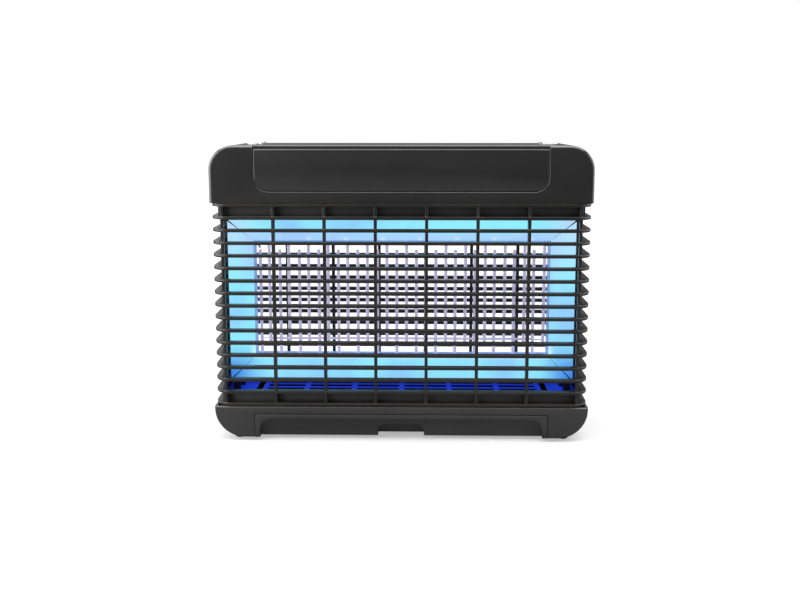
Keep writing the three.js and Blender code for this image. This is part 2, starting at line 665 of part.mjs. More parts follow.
function addHousing() {
  const r = HOUSING_CORNER;
  const x = HALF_W - CASING_WALL;
  const inner = r - CASING_WALL;
  const deep = HOUSING_BOTTOM - 3 * HOUSING_EDGE;
  const blank = edgedBlock(roundedShape(-HALF_W, HALF_W, deep, HOUSING_TOP, [0, 0, r, r]));
  const outer = cut(blank, slab(HALF_W + PAST, HALF_D + PAST, deep - PAST, HOUSING_BOTTOM));
  const innerShape = roundedShape(-x, x, HOUSING_BOTTOM - PAST, HOUSING_TOP - CASING_WALL,
    [0, 0, inner, inner]);
  const wallY = HALF_D - CASING_WALL - HOUSING_EDGE / 3;
  const hollow = extrudeY(innerShape, -wallY, wallY);
  const walls = SIDES.map(([, s]) => rearNiche(s, CASING_WALL).intersect(outer));
  const window = box(-SWITCH_X - SWITCH_WIDTH / 2, -SWITCH_X + SWITCH_WIDTH / 2, 0, HALF_D,
    SWITCH_Z - SWITCH_HEIGHT / 2, SWITCH_Z + SWITCH_HEIGHT / 2);
  const holes = SIDES.flatMap(([, s]) => [
    ringPocket(s),
    rearNiche(s, 0),
    ...screwSeat(s * LUG_X, HOUSING_BOTTOM + LUG_HEIGHT / 2),
  ]);
  const glandHole = rodY(GLAND_STEM, SWITCH_X, 0, HALF_D, SWITCH_Z, 20);
  const shell = join(cut(outer, hollow), saddleLiner(outer), ...walls);
  add('top_housing', cut(shell, saddleSeat(), window, glandHole, ...holes), BLACK_ABS);
}

const SADDLE_SCREW_X = 60;
const SADDLE_SCREW_RISE = 8;
const TOP_CHAMFER = 1.4; // along the upper edges of the saddle
const LEDGE_CHAMFER = 0.6; // along the edge of its ledge

// Section of the saddle seen along X, with a ledge along its upper front and rear edges.
function saddleSection() {
  const ledgeZ = HOUSING_TOP - SADDLE_STEP_DROP;
  const front = [
    [-HALF_D, SADDLE_BOTTOM],
    [-HALF_D, ledgeZ - LEDGE_CHAMFER],
    [-HALF_D + LEDGE_CHAMFER, ledgeZ],
    [-HALF_D + SADDLE_STEP, ledgeZ],
    [-HALF_D + SADDLE_STEP, HOUSING_TOP - TOP_CHAMFER],
    [-HALF_D + SADDLE_STEP + TOP_CHAMFER, HOUSING_TOP],
  ];
  const inside = [
    [CORE_Y + GAP, SADDLE_BOTTOM],
    [CORE_Y + GAP, CORE_TOP - CORE_CHAMFER],
    [CORE_Y - CORE_CHAMFER, CORE_TOP + GAP],
  ];
  return polygon([...front, ...mirrored(front), ...inside, ...mirrored(inside)].reverse());
}

function addSaddle() {
  const strap = extrudeX(saddleSection(), -SADDLE_HALF, SADDLE_HALF)
    .intersect(extrudeY(saddleOutline(0), -HALF_D - PAST, HALF_D + PAST));
  const cuts = SIDES.map(([, s]) => {
    const middle = s * (RING_PIVOT_X + PAST);
    return box(middle - HINGE_CUT, middle + HINGE_CUT, -POCKET_HALF, POCKET_HALF,
      CORE_TOP - PAST, HOUSING_TOP + PAST);
  });
  const holes = SIDES.flatMap(([, s]) => (
    screwSeat(s * SADDLE_SCREW_X, SADDLE_BOTTOM + SADDLE_SCREW_RISE)));
  add('saddle_cover', cut(strap, ...cuts, ...holes), BLACK_ABS);
}

// A screw along Y whose head is sunk in the rear face.
function rearScrew(x, tipY, z) {
  const top = HALF_D - REAR_SUNK;
  const head = rodY(SCREW_HEAD, x, top - REAR_HEAD, top, z, 12);
  return join(head, rodY(SCREW_SHANK, x, tipY, top - REAR_HEAD / 2, z, 6));
}

function addHousingScrews() {
  for (const [side, s] of SIDES) {
    const z = HOUSING_BOTTOM + LUG_HEIGHT / 2;
    add(`housing_screw_${side}`, rearScrew(s * LUG_X, INNER_Y - LUG_THICK - PAST, z), DARK_STEEL);
    const saddleZ = SADDLE_BOTTOM + SADDLE_SCREW_RISE;
    const x = s * SADDLE_SCREW_X;
    add(`saddle_screw_${side}`, rearScrew(x, CORE_Y + GAP, saddleZ), DARK_STEEL);
  }
}

// ---- Hanging rings ------------------------------------------------------------------------

function addHangingRings() {
  const bore = RING_WIRE + GAP;
  const plateZ = CORE_TOP + GAP;
  for (const [side, s] of SIDES) {
    const x = s * RING_PIVOT_X;
    const knuckle = rodY(bore + STRAP, x, -KNUCKLE, KNUCKLE, PIVOT_Z, 20);
    const web = box(x - bore, x + bore, -KNUCKLE, KNUCKLE, plateZ, PIVOT_Z - bore);
    const plate = box(x - BRACKET_HALF, x + BRACKET_HALF, 1 - POCKET_HALF, POCKET_HALF - 1,
      plateZ, plateZ + STRAP);
    const hinge = cut(join(knuckle, web, plate),
      rodY(bore, x, -KNUCKLE - PAST, KNUCKLE + PAST, PIVOT_Z, 16));
    add(`ring_bracket_${side}`, hinge, STEEL);
    const reach = x + s * RING_REACH;
    const straight = x + s * RING_STRAIGHT;
    const bend = reach - s * RING_BEND;
    const h = RING_HALF;
    const z = PIVOT_Z;
    const loop = wire([
      [x, -h, z], [straight, -h, z], [bend, -0.75 * h, z], [reach, 0, z],
      [bend, 0.75 * h, z], [straight, h, z], [x, h, z],
    ], RING_WIRE, 18, 8);
    const pivot = rodY(RING_WIRE, x, -h - RING_WIRE, h + RING_WIRE, z, 12);
    add(`hanging_ring_${side}`, join(solidOf(loop), pivot), STEEL);
  }
}

// ---- Lights -------------------------------------------------------------------------------

const LEG = 6;
const LEG_Y = 12;

function rectangleRing(outerX, z0, z1, wall, halfY) {
  return cut(
    slab(outerX, halfY, z0, z1),
    slab(outerX - wall, halfY + 1, z0 + wall, z1 - wall),
  );
}

function addLightFrame() {
  const ring = rectangleRing(LIGHT_X, LIGHT_Z0, LIGHT_Z1, LIGHT_WALL, LIGHT_Y + BITE);
  const legs = [];
  for (const [, sx, sy] of corners()) {
    const x = sx * (LIGHT_X - LEG);
    const y = sy * LEG_Y;
    legs.push(box(x - LEG / 2, x + LEG / 2, y - LEG / 2, y + LEG / 2,
      LOWER_PLATE_TOP + GAP, LIGHT_Z0 + BITE));
    legs.push(box(x - LEG / 2, x + LEG / 2, y - LEG / 2, y + LEG / 2,
      LIGHT_Z1 - BITE, UPPER_PLATE_BOTTOM - GAP));
  }
  const ports = SIDES.map(([, s]) => rodZ(LEAD_PORT, s * LEAD_HOLE_X, 0,
    LIGHT_Z1 - LIGHT_WALL - PAST, LIGHT_Z1 + PAST, 12));
  add('light_frame', cut(join(ring, ...legs), ...ports), DARK_FRAME);
}

// One sloping panel of the hopper, given by its outer and inner edge in XZ, from y0 to y1.
function slopingPanel(outer, inner, y0, y1, side) {
  const thick = side * DIFFUSER;
  const points = [];
  for (const [x, z] of outer) points.push([x, y0, z], [x, y0 - thick, z]);
  for (const [x, z] of inner) points.push([x, y1, z], [x, y1 - thick, z]);
  return new ConvexGeometry(points.map(([x, y, z]) => new THREE.Vector3(x, y, z)));
}

function addDiffusers() {
  const mitre = GAP / 2;
  const midZ = (PANEL_Z0 + PANEL_Z1) / 2;
  for (const [end, sy] of ENDS) {
    const outerY = sy * LIGHT_Y;
    const innerY = (sy * RING_DEPTH) / 2;
    for (const [name, zo, zi] of [['top', PANEL_Z1, APEX_Z1], ['bottom', PANEL_Z0, APEX_Z0]]) {
      const outer = [[-PANEL_X + mitre + GAP, zo], [PANEL_X - mitre - GAP, zo]];
      const inner = [[-APEX_X + mitre, zi], [APEX_X - mitre, zi]];
      add(`${end}_diffuser_${name}`, slopingPanel(outer, inner, outerY, innerY, sy), DIFFUSER_BLUE);
    }
    for (const [name, sx] of SIDES) {
      const outerHalf = (PANEL_Z1 - PANEL_Z0) / 2 - mitre - GAP;
      const innerHalf = (APEX_Z1 - APEX_Z0) / 2 - mitre;
      const outer = [[sx * PANEL_X, midZ - outerHalf], [sx * PANEL_X, midZ + outerHalf]];
      const inner = [[sx * APEX_X, midZ - innerHalf], [sx * APEX_X, midZ + innerHalf]];
      add(`${end}_diffuser_${name}`, slopingPanel(outer, inner, outerY, innerY, sy), DIFFUSER_BLUE);
    }
  }
}

const STRIP = 1.2;
const STRIP_HALF = 5;
const STRIP_INSET = 12; // ends of the strips from the corners of the frame

function addLedStrips() {
  const end = PANEL_X - STRIP_INSET;
  for (const [name, z] of [['top', PANEL_Z1 - STRIP], ['bottom', PANEL_Z0]]) {
    const ports = SIDES.map(([, s]) => rodZ(LEAD_PORT, s * LEAD_HOLE_X, 0, z - PAST, z + STRIP + PAST, 12));
    add(`led_strip_${name}`, cut(slab(end, STRIP_HALF, z, z + STRIP), ...ports), LED_WHITE);
  }
  for (const [name, s] of SIDES) {
    const middle = s * (PANEL_X - STRIP / 2);
    add(`led_strip_${name}`, box(middle - STRIP / 2, middle + STRIP / 2, -STRIP_HALF, STRIP_HALF,
      PANEL_Z0 + STRIP_INSET, PANEL_Z1 - STRIP_INSET), LED_WHITE);
  }
}

// ---- High-voltage grid --------------------------------------------------------------------

const GUSSET = 5;
const GUSSET_THICK = 1.4;
const CLIP_RADIUS = 1.9;
const CLIP_LENGTH = 2;
const COMB_MARGIN = 3.7; // outer comb bars from the outside of the ring

function combPlaces() {
  const span = 2 * (RING_X - COMB_MARGIN);
  const count = Math.max(2, 2 * Math.round(span / COMB_SPACING / 2));
  return Array.from({ length: count }, (_, i) => (i - (count - 1) / 2) * COMB_SPACING);
}

function addGridRing() {
  const ring = rectangleRing(RING_X, RING_Z0, RING_Z1, RING_WALL, RING_DEPTH / 2);
  const slotX = RING_X - RING_WALL - PAST;
  const half = COMB_SHEET / 2 + GAP;
  const topSlot = box(-slotX, slotX, -COMB_OFFSET - half, -COMB_OFFSET + half,
    RING_Z1 - RING_WALL - PAST, RING_Z1 + PAST);
  const bottomSlot = box(-slotX, slotX, COMB_OFFSET - half, COMB_OFFSET + half,
    RING_Z0 - PAST, RING_Z0 + RING_WALL + PAST);
  const gussets = SIDES.map(([, s]) => {
    const middle = s * (RING_X - GUSSET / 2);
    return box(middle - GUSSET / 2, middle + GUSSET / 2,
      -RING_DEPTH / 2, GUSSET_THICK - RING_DEPTH / 2, RING_Z1 - GUSSET, RING_Z1);
  });
  const port = rodZ(LEAD_PORT, combPlaces()[0] - LEAD_BESIDE, LEAD_SWING,
    RING_Z1 - RING_WALL - PAST, RING_Z1 + PAST, 12);
  add('grid_ring', cut(join(ring, ...gussets), topSlot, bottomSlot, port), CLEAR_RING);
  for (const [side, s] of SIDES) {
    const x = s * (RING_X - GUSSET / 2);
    const front = -RING_DEPTH / 2 - GAP;
    const clip = rodY(CLIP_RADIUS, x, front - CLIP_LENGTH, front, RING_Z1 - GUSSET / 2);
    add(`grid_clip_${side}`, clip, DARK_STEEL);
  }
}

// A comb is one sheet: bars that stand on a bus strip and are tied near both ends.
function comb(places, busZ, rootZ, tipZ, y) {
  const up = Math.sign(tipZ - rootZ);
  const halfBar = COMB_BAR / 2;
  const levels = [busZ + (up * BUS_HEIGHT) / 2];
  for (const tie of [rootZ + up * TIE_FROM_ROOT, tipZ - up * TIE_FROM_TIP]) {
    levels.push(tie - (up * COMB_TIE) / 2, tie + (up * COMB_TIE) / 2);
  }
  levels.push(tipZ + up * PAST);
  const y0 = y - COMB_SHEET / 2;
  const y1 = y + COMB_SHEET / 2;
  const end = busZ - (up * BUS_HEIGHT) / 2;
  const sheet = box(places[0] - halfBar, places[places.length - 1] + halfBar, y0, y1,
    Math.min(end, tipZ), Math.max(end, tipZ));
  const windows = [];
  for (let i = 0; i < places.length - 1; i += 1) {
    for (let level = 0; level < levels.length; level += 2) {
      const [from, to] = levels.slice(level, level + 2);
      windows.push(box(places[i] + halfBar, places[i + 1] - halfBar, y0 - PAST, y1 + PAST,
        Math.min(from, to), Math.max(from, to)));
    }
  }
  return cut(sheet, ...windows);
}

const BUS_TOP = RING_Z1 + GAP + BUS_HEIGHT / 2;
const BUS_BOTTOM = RING_Z0 - GAP - BUS_HEIGHT / 2;

function addCombs() {
  const places = combPlaces();
  const rear = places.filter((_, i) => i % 2 === 0);
  const front = places.filter((_, i) => i % 2 === 1);
  const low = RING_Z0 + RING_WALL;
  const high = RING_Z1 - RING_WALL;
  add('grid_comb_rear', comb(rear, BUS_BOTTOM, low, high - COMB_TIP, COMB_OFFSET), STEEL);
  add('grid_comb_front', comb(front, BUS_TOP, high, low + COMB_TIP, -COMB_OFFSET), STEEL);
}

// ---- Electronics in the housing -----------------------------------------------------------

const BOARD_HALF = 62;
const BOARD_DEPTH = 26;
const BOARD_Z = HOUSING_BOTTOM + 6;
const BOARD_THICK = 1.6;
const BOARD_TOP = BOARD_Z + BOARD_THICK;
const STANDOFF = 2.5;
const STANDOFF_INSET = 5;
const CORE = { x: -19, halfX: 15, halfY: 14, height: 20, window: 9, sill: 5 };
const COIL = { halfX: 10, halfY: 17, sill: 4 };
const BOX_CAPACITORS = { a: 14, b: 34 }; // their places along the board
const BOX_CAPACITOR = { halfX: 8, halfY: 9, height: 14 };
const CAN_CAPACITOR = { x: 52, radius: 6, height: 20 };
const TERMINAL_BLOCK = { x: -50, halfX: 8, halfY: 16, height: 11, pitch: 10, mouth: 2.6, rise: 5 };

function addDriverBoard() {
  const legs = [];
  for (const [, sx, sy] of corners()) {
    legs.push(rodZ(STANDOFF, sx * (BOARD_HALF - STANDOFF_INSET), sy * (BOARD_DEPTH - STANDOFF_INSET),
      CAGE_TOP + GAP, BOARD_Z + BITE, 12));
  }
  const board = slab(BOARD_HALF, BOARD_DEPTH, BOARD_Z, BOARD_TOP);
  add('driver_board', join(board, ...legs), BOARD_GREEN);
}

// A laminated core with a window through it, and the coil wound round its middle.
function addTransformer(z) {
  const { x, halfX, halfY, height, window, sill } = CORE;
  const core = box(x - halfX, x + halfX, -halfY, halfY, z, z + height);
  const opening = box(x - window, x + window, -halfY - PAST, halfY + PAST, z + sill, z + height - sill);
  const coil = box(x - COIL.halfX, x + COIL.halfX, -COIL.halfY, COIL.halfY,
    z + COIL.sill, z + height - COIL.sill);
  add('hv_transformer', join(cut(core, opening), coil), COPPER_TAPE);
}

function addCapacitors(z) {
  const { halfX, halfY, height } = BOX_CAPACITOR;
  for (const [name, x] of Object.entries(BOX_CAPACITORS)) {
    add(`hv_capacitor_${name}`, box(x - halfX, x + halfX, -halfY, halfY, z, z + height), CAPACITOR);
  }
  const can = rodZ(CAN_CAPACITOR.radius, CAN_CAPACITOR.x, 0, z, z + CAN_CAPACITOR.height, 20);
  add('smoothing_capacitor', can, CAPACITOR);
}

function addTerminalBlock(z) {
  const { x, halfX, halfY, height, pitch, mouth, rise } = TERMINAL_BLOCK;
  const block = box(x - halfX, x + halfX, -halfY, halfY, z, z + height);
  const mouths = [-pitch, 0, pitch].map((y) => rodX(mouth, x - halfX - PAST, x, y, z + rise, 12));
  add('terminal_block', cut(block, ...mouths), TERMINAL);
}

function addElectronics() {
  const seat = BOARD_TOP + GAP;
  addDriverBoard();
  addTransformer(seat);
  addCapacitors(seat);
  addTerminalBlock(seat);
}

// ---- Power switch and cord gland ----------------------------------------------------------

function switchBlock(halfX, halfZ, y0, y1) {
  return box(-SWITCH_X - halfX, -SWITCH_X + halfX, y0, y1, SWITCH_Z - halfZ, SWITCH_Z + halfZ);
}

function addPowerSwitch() {
  const w = SWITCH_WIDTH / 2 - GAP;
  const h = SWITCH_HEIGHT / 2 - GAP;
  const face = NICHE_FACE;
  const rim = face + GAP + FLANGE_THICK;
  const body = switchBlock(w, h, face - SWITCH_LENGTH, face + PAST);
  const flange = switchBlock(w + FLANGE_RIM, h + FLANGE_RIM, face + GAP, rim);
  const wellX = w - SWITCH_WALL;
  const wellZ = h - SWITCH_WALL;
  const well = switchBlock(wellX, wellZ, face - WELL_DEPTH, rim + PAST);
  add('power_switch_body', cut(join(body, flange), well), BLACK_ABS);
  const reach = wellZ - ROCKER_ENDS;
  const half = wellX - ROCKER_GAP;
  const rocker = extrudeX(polygon([
    [0.6, -reach], [-0.9, 0], [0.6, reach], [-2.2, reach], [-2.2, -reach],
  ]), -half, half);
  const mesh = add('power_switch_rocker', rocker, BLACK_ABS);
  mesh.position.set(-SWITCH_X, face + ROCKER_AXIS, SWITCH_Z);
  mesh.rotation.x = THREE.MathUtils.degToRad(ROCKER_TILT);
}

function addGland() {
  const face = NICHE_FACE;
  const collar = rodY(GLAND_RADIUS, SWITCH_X, face + GAP, face + GLAND_LENGTH, SWITCH_Z, 20);
  const stem = rodY(GLAND_STEM - GAP, SWITCH_X, face - GLAND_TAIL, face + PAST, SWITCH_Z, 20);
  const bore = rodY(GLAND_BORE, SWITCH_X, face - GLAND_TAIL - PAST, face + GLAND_LENGTH + PAST, SWITCH_Z, 12);
  add('cord_gland', cut(join(collar, stem), bore), RUBBER);
}

// ---- High-voltage leads -------------------------------------------------------------------

function addLeads() {
  const boardX = BOARD_HALF + BITE;
  const boardZ = BOARD_Z + BOARD_THICK / 2;
  const bow = CAGE_TOP + 6.5; // top of the bow before a lead goes down
  const rearTip = RING_Z1 - RING_WALL - COMB_TIP;
  const places = combPlaces();
  const firstBar = places[0];
  const lastBar = places[places.length - 1];
  const portX = firstBar - LEAD_BESIDE;
  add('hv_lead_rear', wire([
    [-boardX, 0, boardZ], [-boardX - 14, 0, boardZ],
    [12 - LEAD_HOLE_X, 0, bow], [-LEAD_HOLE_X, 0, CAGE_TOP],
    [-LEAD_HOLE_X, 0, LIGHT_Z1], [(portX - LEAD_HOLE_X) / 2, LEAD_SWING / 2, RING_Z1 + 6],
    [portX, LEAD_SWING, RING_Z1 + 1], [portX, LEAD_SWING, RING_Z1 - RING_WALL - 1],
    [firstBar, 1.8, rearTip + 4], [firstBar, COMB_OFFSET, rearTip + 1.6],
  ], LEAD, 22), LEAD_VIOLET);
  add('hv_lead_front', wire([
    [boardX, 0, boardZ], [boardX + 14, 0, boardZ],
    [LEAD_HOLE_X - 12, 0, bow], [LEAD_HOLE_X, 0, CAGE_TOP],
    [LEAD_HOLE_X, 0, LIGHT_Z1], [(lastBar + LEAD_HOLE_X) / 2 + 0.9, -1, BUS_TOP + 8],
    [lastBar + 0.8, -COMB_OFFSET, BUS_TOP + BUS_HEIGHT / 2 + 1.4],
  ], LEAD, 20), LEAD_WHITE);
}

// ---- Assembly -----------------------------------------------------------------------------

addCage();
addBase();
addFeet();
addBaseScrews();
addTray();
addLowerFrame();
addUpperFrame();
addHousing();
addSaddle();
addHousingScrews();
addHangingRings();
addLightFrame();
addDiffusers();
addLedStrips();
addGridRing();
addCombs();
addElectronics();
addPowerSwitch();
addGland();
addLeads();

export default zapper;
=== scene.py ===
"""Looks of the electric bug zapper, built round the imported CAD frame. Metres, front towards -Y."""
import json
import math

import bpy
from mathutils import Matrix, Vector


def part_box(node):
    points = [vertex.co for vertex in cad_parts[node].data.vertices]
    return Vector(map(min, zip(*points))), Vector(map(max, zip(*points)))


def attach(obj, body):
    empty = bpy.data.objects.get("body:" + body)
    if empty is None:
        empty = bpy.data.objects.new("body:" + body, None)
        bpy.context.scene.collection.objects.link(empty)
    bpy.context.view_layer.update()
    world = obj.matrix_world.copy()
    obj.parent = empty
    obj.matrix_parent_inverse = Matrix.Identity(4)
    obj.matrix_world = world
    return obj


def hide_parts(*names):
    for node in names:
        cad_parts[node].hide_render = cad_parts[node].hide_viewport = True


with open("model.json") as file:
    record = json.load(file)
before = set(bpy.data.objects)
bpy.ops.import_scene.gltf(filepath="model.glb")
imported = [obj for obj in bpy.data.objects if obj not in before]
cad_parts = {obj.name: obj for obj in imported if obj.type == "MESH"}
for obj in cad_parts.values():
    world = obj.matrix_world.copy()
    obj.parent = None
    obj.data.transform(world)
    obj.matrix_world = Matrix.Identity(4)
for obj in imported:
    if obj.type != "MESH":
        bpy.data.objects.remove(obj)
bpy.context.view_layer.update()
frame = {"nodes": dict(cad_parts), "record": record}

MM = 0.001
RECORD = frame["record"]
BODY_OF = {n: b for b, nodes in RECORD["behaviour"]["bodies"].items() for n in nodes}
SLOT_OF = {s["node"]: s["material_slot"] for s in RECORD["subparts"]}

# ---- Sizes taken from the frame -------------------------------------------------------------

cage_low, cage_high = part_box("front_cage")
base_low, base_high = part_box("base_shell")
housing_low, housing_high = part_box("top_housing")
saddle_low, saddle_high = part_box("saddle_cover")
tray_low, tray_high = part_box("collection_tray")
ring_low, ring_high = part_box("grid_ring")
lower_low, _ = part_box("lower_frame")

HALF_W = cage_high.x
HALF_D = -cage_low.y
SEAM = 0.15 * MM  # each cage stops this far from the middle
PAST = 1 * MM  # how far a cutter reaches past the face it opens
GAP = 0.3 * MM  # between touching pieces
SLATS = 17
SLAT_HEIGHT = 2.8 * MM
SLAT_PITCH = (cage_high.z - cage_low.z - SLAT_HEIGHT) / (SLATS - 1)
SLAT_FRONT = 6 * MM
SLAT_SIDE = 8.1 * MM
RIM_SIDE = 6.2 * MM
SLAT_CORNER = 15 * MM
BAR_WIDTH = 2.8 * MM
END_BAR = HALF_W - 10.5 * MM
BARS = 8
HOUSING_CORNER = 21.5 * MM
HOUSING_EDGE = 3 * MM
SADDLE_CORNER = 12.4 * MM
SADDLE_WALL = 2.2 * MM


# ---- Tools of the hand ----------------------------------------------------------------------

def deselect():
    if bpy.context.object and bpy.context.object.mode != "OBJECT":
        bpy.ops.object.mode_set(mode="OBJECT")
    bpy.ops.object.select_all(action="DESELECT")


def activate(*objs):
    """Selects these and nothing else, the first of them active."""
    deselect()
    for obj in objs:
        obj.select_set(True)
    bpy.context.view_layer.objects.active = objs[0]
    return objs[0]


def pick(obj, verts=None, edges=None, faces=None):
    """Selects what the test says, in object mode, and goes into edit mode."""
    activate(obj)
    mesh = obj.data
    for part in (mesh.vertices, mesh.edges, mesh.polygons):
        part.foreach_set("select", [False] * len(part))
    kind = "VERT"
    if verts:
        for v in mesh.vertices:
            v.select = verts(v.co)
    if edges:
        kind = "EDGE"
        for e in mesh.edges:
            a, b = (mesh.vertices[i].co for i in e.vertices)
            e.select = edges(a, b)
    if faces:
        kind = "FACE"
        for f in mesh.polygons:
            f.select = faces(f.center, f.normal)
    bpy.context.tool_settings.mesh_select_mode = (kind == "VERT", kind == "EDGE", kind == "FACE")
    bpy.ops.object.mode_set(mode="EDIT")


def leave():
    bpy.ops.object.mode_set(mode="OBJECT")


def near(a, b, slack=0.01 * MM):
    return abs(a - b) < slack


def facing_edge(y, slack=0.01 * MM):
    """Tests for edges that lie in the plane of this y."""
    return lambda a, b: near(a.y, y, slack) and near(b.y, y, slack)


def corner_edge(z):
    """Tests for edges that lie at this height and run from front to back."""
    return lambda a, b: near(a.z, z) and near(b.z, z) and near(a.x, b.x)


def block(name, low, high):
    """A cube from corner to corner, its place in its mesh."""
    low, high = Vector(low), Vector(high)
    deselect()
    bpy.ops.mesh.primitive_cube_add(size=1, location=(low + high) / 2)
    obj = bpy.context.object
    obj.scale = high - low
    bpy.ops.object.transform_apply(location=True, rotation=True, scale=True)
    obj.name = obj.data.name = name
    return obj


def rod(name, radius, start, end, sides=24):
    """A cylinder between two points, its place in its mesh."""
    start, end = Vector(start), Vector(end)
    along = end - start
    deselect()
    bpy.ops.mesh.primitive_cylinder_add(
        vertices=sides, radius=radius, depth=along.length, location=(start + end) / 2
    )
    obj = bpy.context.object
    obj.rotation_mode = "QUATERNION"
    obj.rotation_quaternion = along.to_track_quat("Z", "Y")
    bpy.ops.object.transform_apply(location=True, rotation=True, scale=True)
    obj.name = obj.data.name = name
    return obj


def bevel(obj, edges, width, segments):
    """Rounds the edges that pass the test, in edit mode."""
    pick(obj, edges=edges)
    bpy.ops.mesh.bevel(offset=width, segments=segments, affect="EDGES", profile=0.5, clamp_overlap=False)
    leave()


def modify(obj, kind, **values):
    """Adds a modifier with these values and applies it."""
    activate(obj)
    modifier = obj.modifiers.new(kind.title(), kind)
    for key, value in values.items():
        setattr(modifier, key, value)
    bpy.ops.object.modifier_apply(modifier=modifier.name)


def combine(obj, operation, others):
    """Joins or cuts the object with the others, which are used up."""
    for other in others:
        modify(obj, "BOOLEAN", operation=operation, object=other, solver="EXACT")
        bpy.data.objects.remove(other)
    return obj


def carve(obj, *cutters):
    return combine(obj, "DIFFERENCE", cutters)


def join(name, *objs):
    activate(*objs)
    if len(objs) > 1:
        bpy.ops.object.join()
    obj = bpy.context.object
    obj.name = obj.data.name = name
    return obj


def copied(obj, name, matrix=None):
    """A copy with a mesh of its own, moved or turned in its mesh."""
    twin = obj.copy()
    twin.data = obj.data.copy()
    twin.name = twin.data.name = name
    bpy.context.scene.collection.objects.link(twin)
    if matrix:
        twin.data.transform(matrix)
    return twin


SHARP = 32  # degrees between faces from which an edge stays sharp
SHELL_SHARP = 34


def shade(obj, degrees=SHARP):
    activate(obj)
    bpy.ops.object.shade_smooth_by_angle(angle=math.radians(degrees))


def soften(obj, width, segments):
    """Small rounding along every sharp edge, as a mould leaves it."""
    modify(obj, "BEVEL", width=width, segments=segments, limit_method="ANGLE",
           angle_limit=math.radians(SHARP))
    shade(obj)


def detail(obj, node, material):
    """A piece that rides on the node's body and wears the material given, but stands for no node."""
    obj.data.materials.clear()
    obj.data.materials.append(material)
    for polygon in obj.data.polygons:
        polygon.material_index = 0
    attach(obj, BODY_OF[node])


def finish(obj, node, material):
    """A piece that rides on the node's body, wears the material given and stands for it."""
    detail(obj, node, material)
    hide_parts(node)


MERGE = 0.004 * MM


def refined(node, material, width, segments=2):
    """A merged copy of a CAD solid with its edges softened."""
    obj = copied(frame["nodes"][node], node + "_fine")
    obj.parent = None
    obj.matrix_world = Matrix.Identity(4)
    pick(obj, verts=lambda co: True)
    bpy.ops.mesh.remove_doubles(threshold=MERGE)
    bpy.ops.mesh.dissolve_limited(angle_limit=math.radians(1))
    leave()
    if width:
        soften(obj, width, segments)
    else:
        shade(obj)
    finish(obj, node, material)


# ---- Shared effects -------------------------------------------------------------------------

def new_group(name, inputs, outputs):
    """An empty group with its named sockets, and its two end nodes."""
    group = bpy.data.node_groups.new(name, "ShaderNodeTree")
    for label, kind, default in inputs:
        socket = group.interface.new_socket(label, in_out="INPUT", socket_type=kind)
        if default is not None:
            socket.default_value = default
    for label, kind in outputs:
        group.interface.new_socket(label, in_out="OUTPUT", socket_type=kind)
    return group, group.nodes.new("NodeGroupInput"), group.nodes.new("NodeGroupOutput")


def feed(tree, socket, value):
    """Links the value to the socket, or sets it there when it's a plain number or colour."""
    if isinstance(value, bpy.types.NodeSocket):
        tree.links.new(value, socket)
    else:
        socket.default_value = value


def place(tree, kind, settings=None, **inputs):
    """A node with its settings and inputs; i0, i1 stand for an input's place in the list."""
    node = tree.nodes.new(kind)
    for key, value in (settings or {}).items():
        setattr(node, key, value)
    for key, value in inputs.items():
        by_place = key[0] == "i" and key[1:].isdigit()
        feed(tree, node.inputs[int(key[1:]) if by_place else key], value)
    return node


def span_of(tree, value, start, end, low=0.0, high=1.0, smooth=True):
    """The value drawn from start..end to low..high, held at both ends."""
    settings = {"interpolation_type": "SMOOTHSTEP" if smooth else "LINEAR"}
    node = place(tree, "ShaderNodeMapRange", settings, Value=value)
    for label, limit in (("From Min", start), ("From Max", end), ("To Min", low), ("To Max", high)):
        feed(tree, node.inputs[label], limit)
    return node.outputs["Result"]


def maths(tree, operation, a, b=0.0):
    return place(tree, "ShaderNodeMath", {"operation": operation}, i0=a, i1=b).outputs[0]


def product(tree, first, *others):
    for other in others:
        first = maths(tree, "MULTIPLY", first, other)
    return first


def blend(tree, factor, a, b):
    """Colour a, and colour b where the factor is one; either may be a socket."""
    node = place(tree, "ShaderNodeMix", {"data_type": "RGBA"}, Factor=factor)
    for index, colour in ((6, a), (7, b)):
        feed(tree, node.inputs[index], colour if isinstance(colour, bpy.types.NodeSocket) else (*colour, 1))
    return node.outputs[2]


def moulded_grain():
    """Fine mould texture: a bumped normal and a roughness that drifts between two values."""
    group, source, sink = new_group(
        "moulded grain",
        [("Scale", "NodeSocketFloat", 1400.0), ("Depth", "NodeSocketFloat", 0.1),
         ("Smooth", "NodeSocketFloat", 0.35), ("Rough", "NodeSocketFloat", 0.5),
         ("Edge", "NodeSocketFloat", 0.0005)],
        [("Normal", "NodeSocketVector"), ("Roughness", "NodeSocketFloat"), ("Cloud", "NodeSocketFloat")],
    )
    coords = group.nodes.new("ShaderNodeTexCoord").outputs["Object"]
    fine = place(group, "ShaderNodeTexNoise", Vector=coords, Scale=source.outputs["Scale"], Detail=3.0)
    worn = place(group, "ShaderNodeBevel", {"samples": 6}, Radius=source.outputs["Edge"])
    bump = place(group, "ShaderNodeBump", Height=fine.outputs["Fac"], Normal=worn.outputs["Normal"],
                 Strength=source.outputs["Depth"], Distance=0.0001)
    cloud = place(group, "ShaderNodeTexNoise", Vector=coords, Scale=14.0, Detail=2.0, Roughness=0.4)
    drift = span_of(group, cloud.outputs["Fac"], 0.3, 0.7, source.outputs["Smooth"],
                    source.outputs["Rough"], smooth=False)
    group.links.new(bump.outputs["Normal"], sink.inputs["Normal"])
    group.links.new(drift, sink.inputs["Roughness"])
    group.links.new(cloud.outputs["Fac"], sink.inputs["Cloud"])
    return group


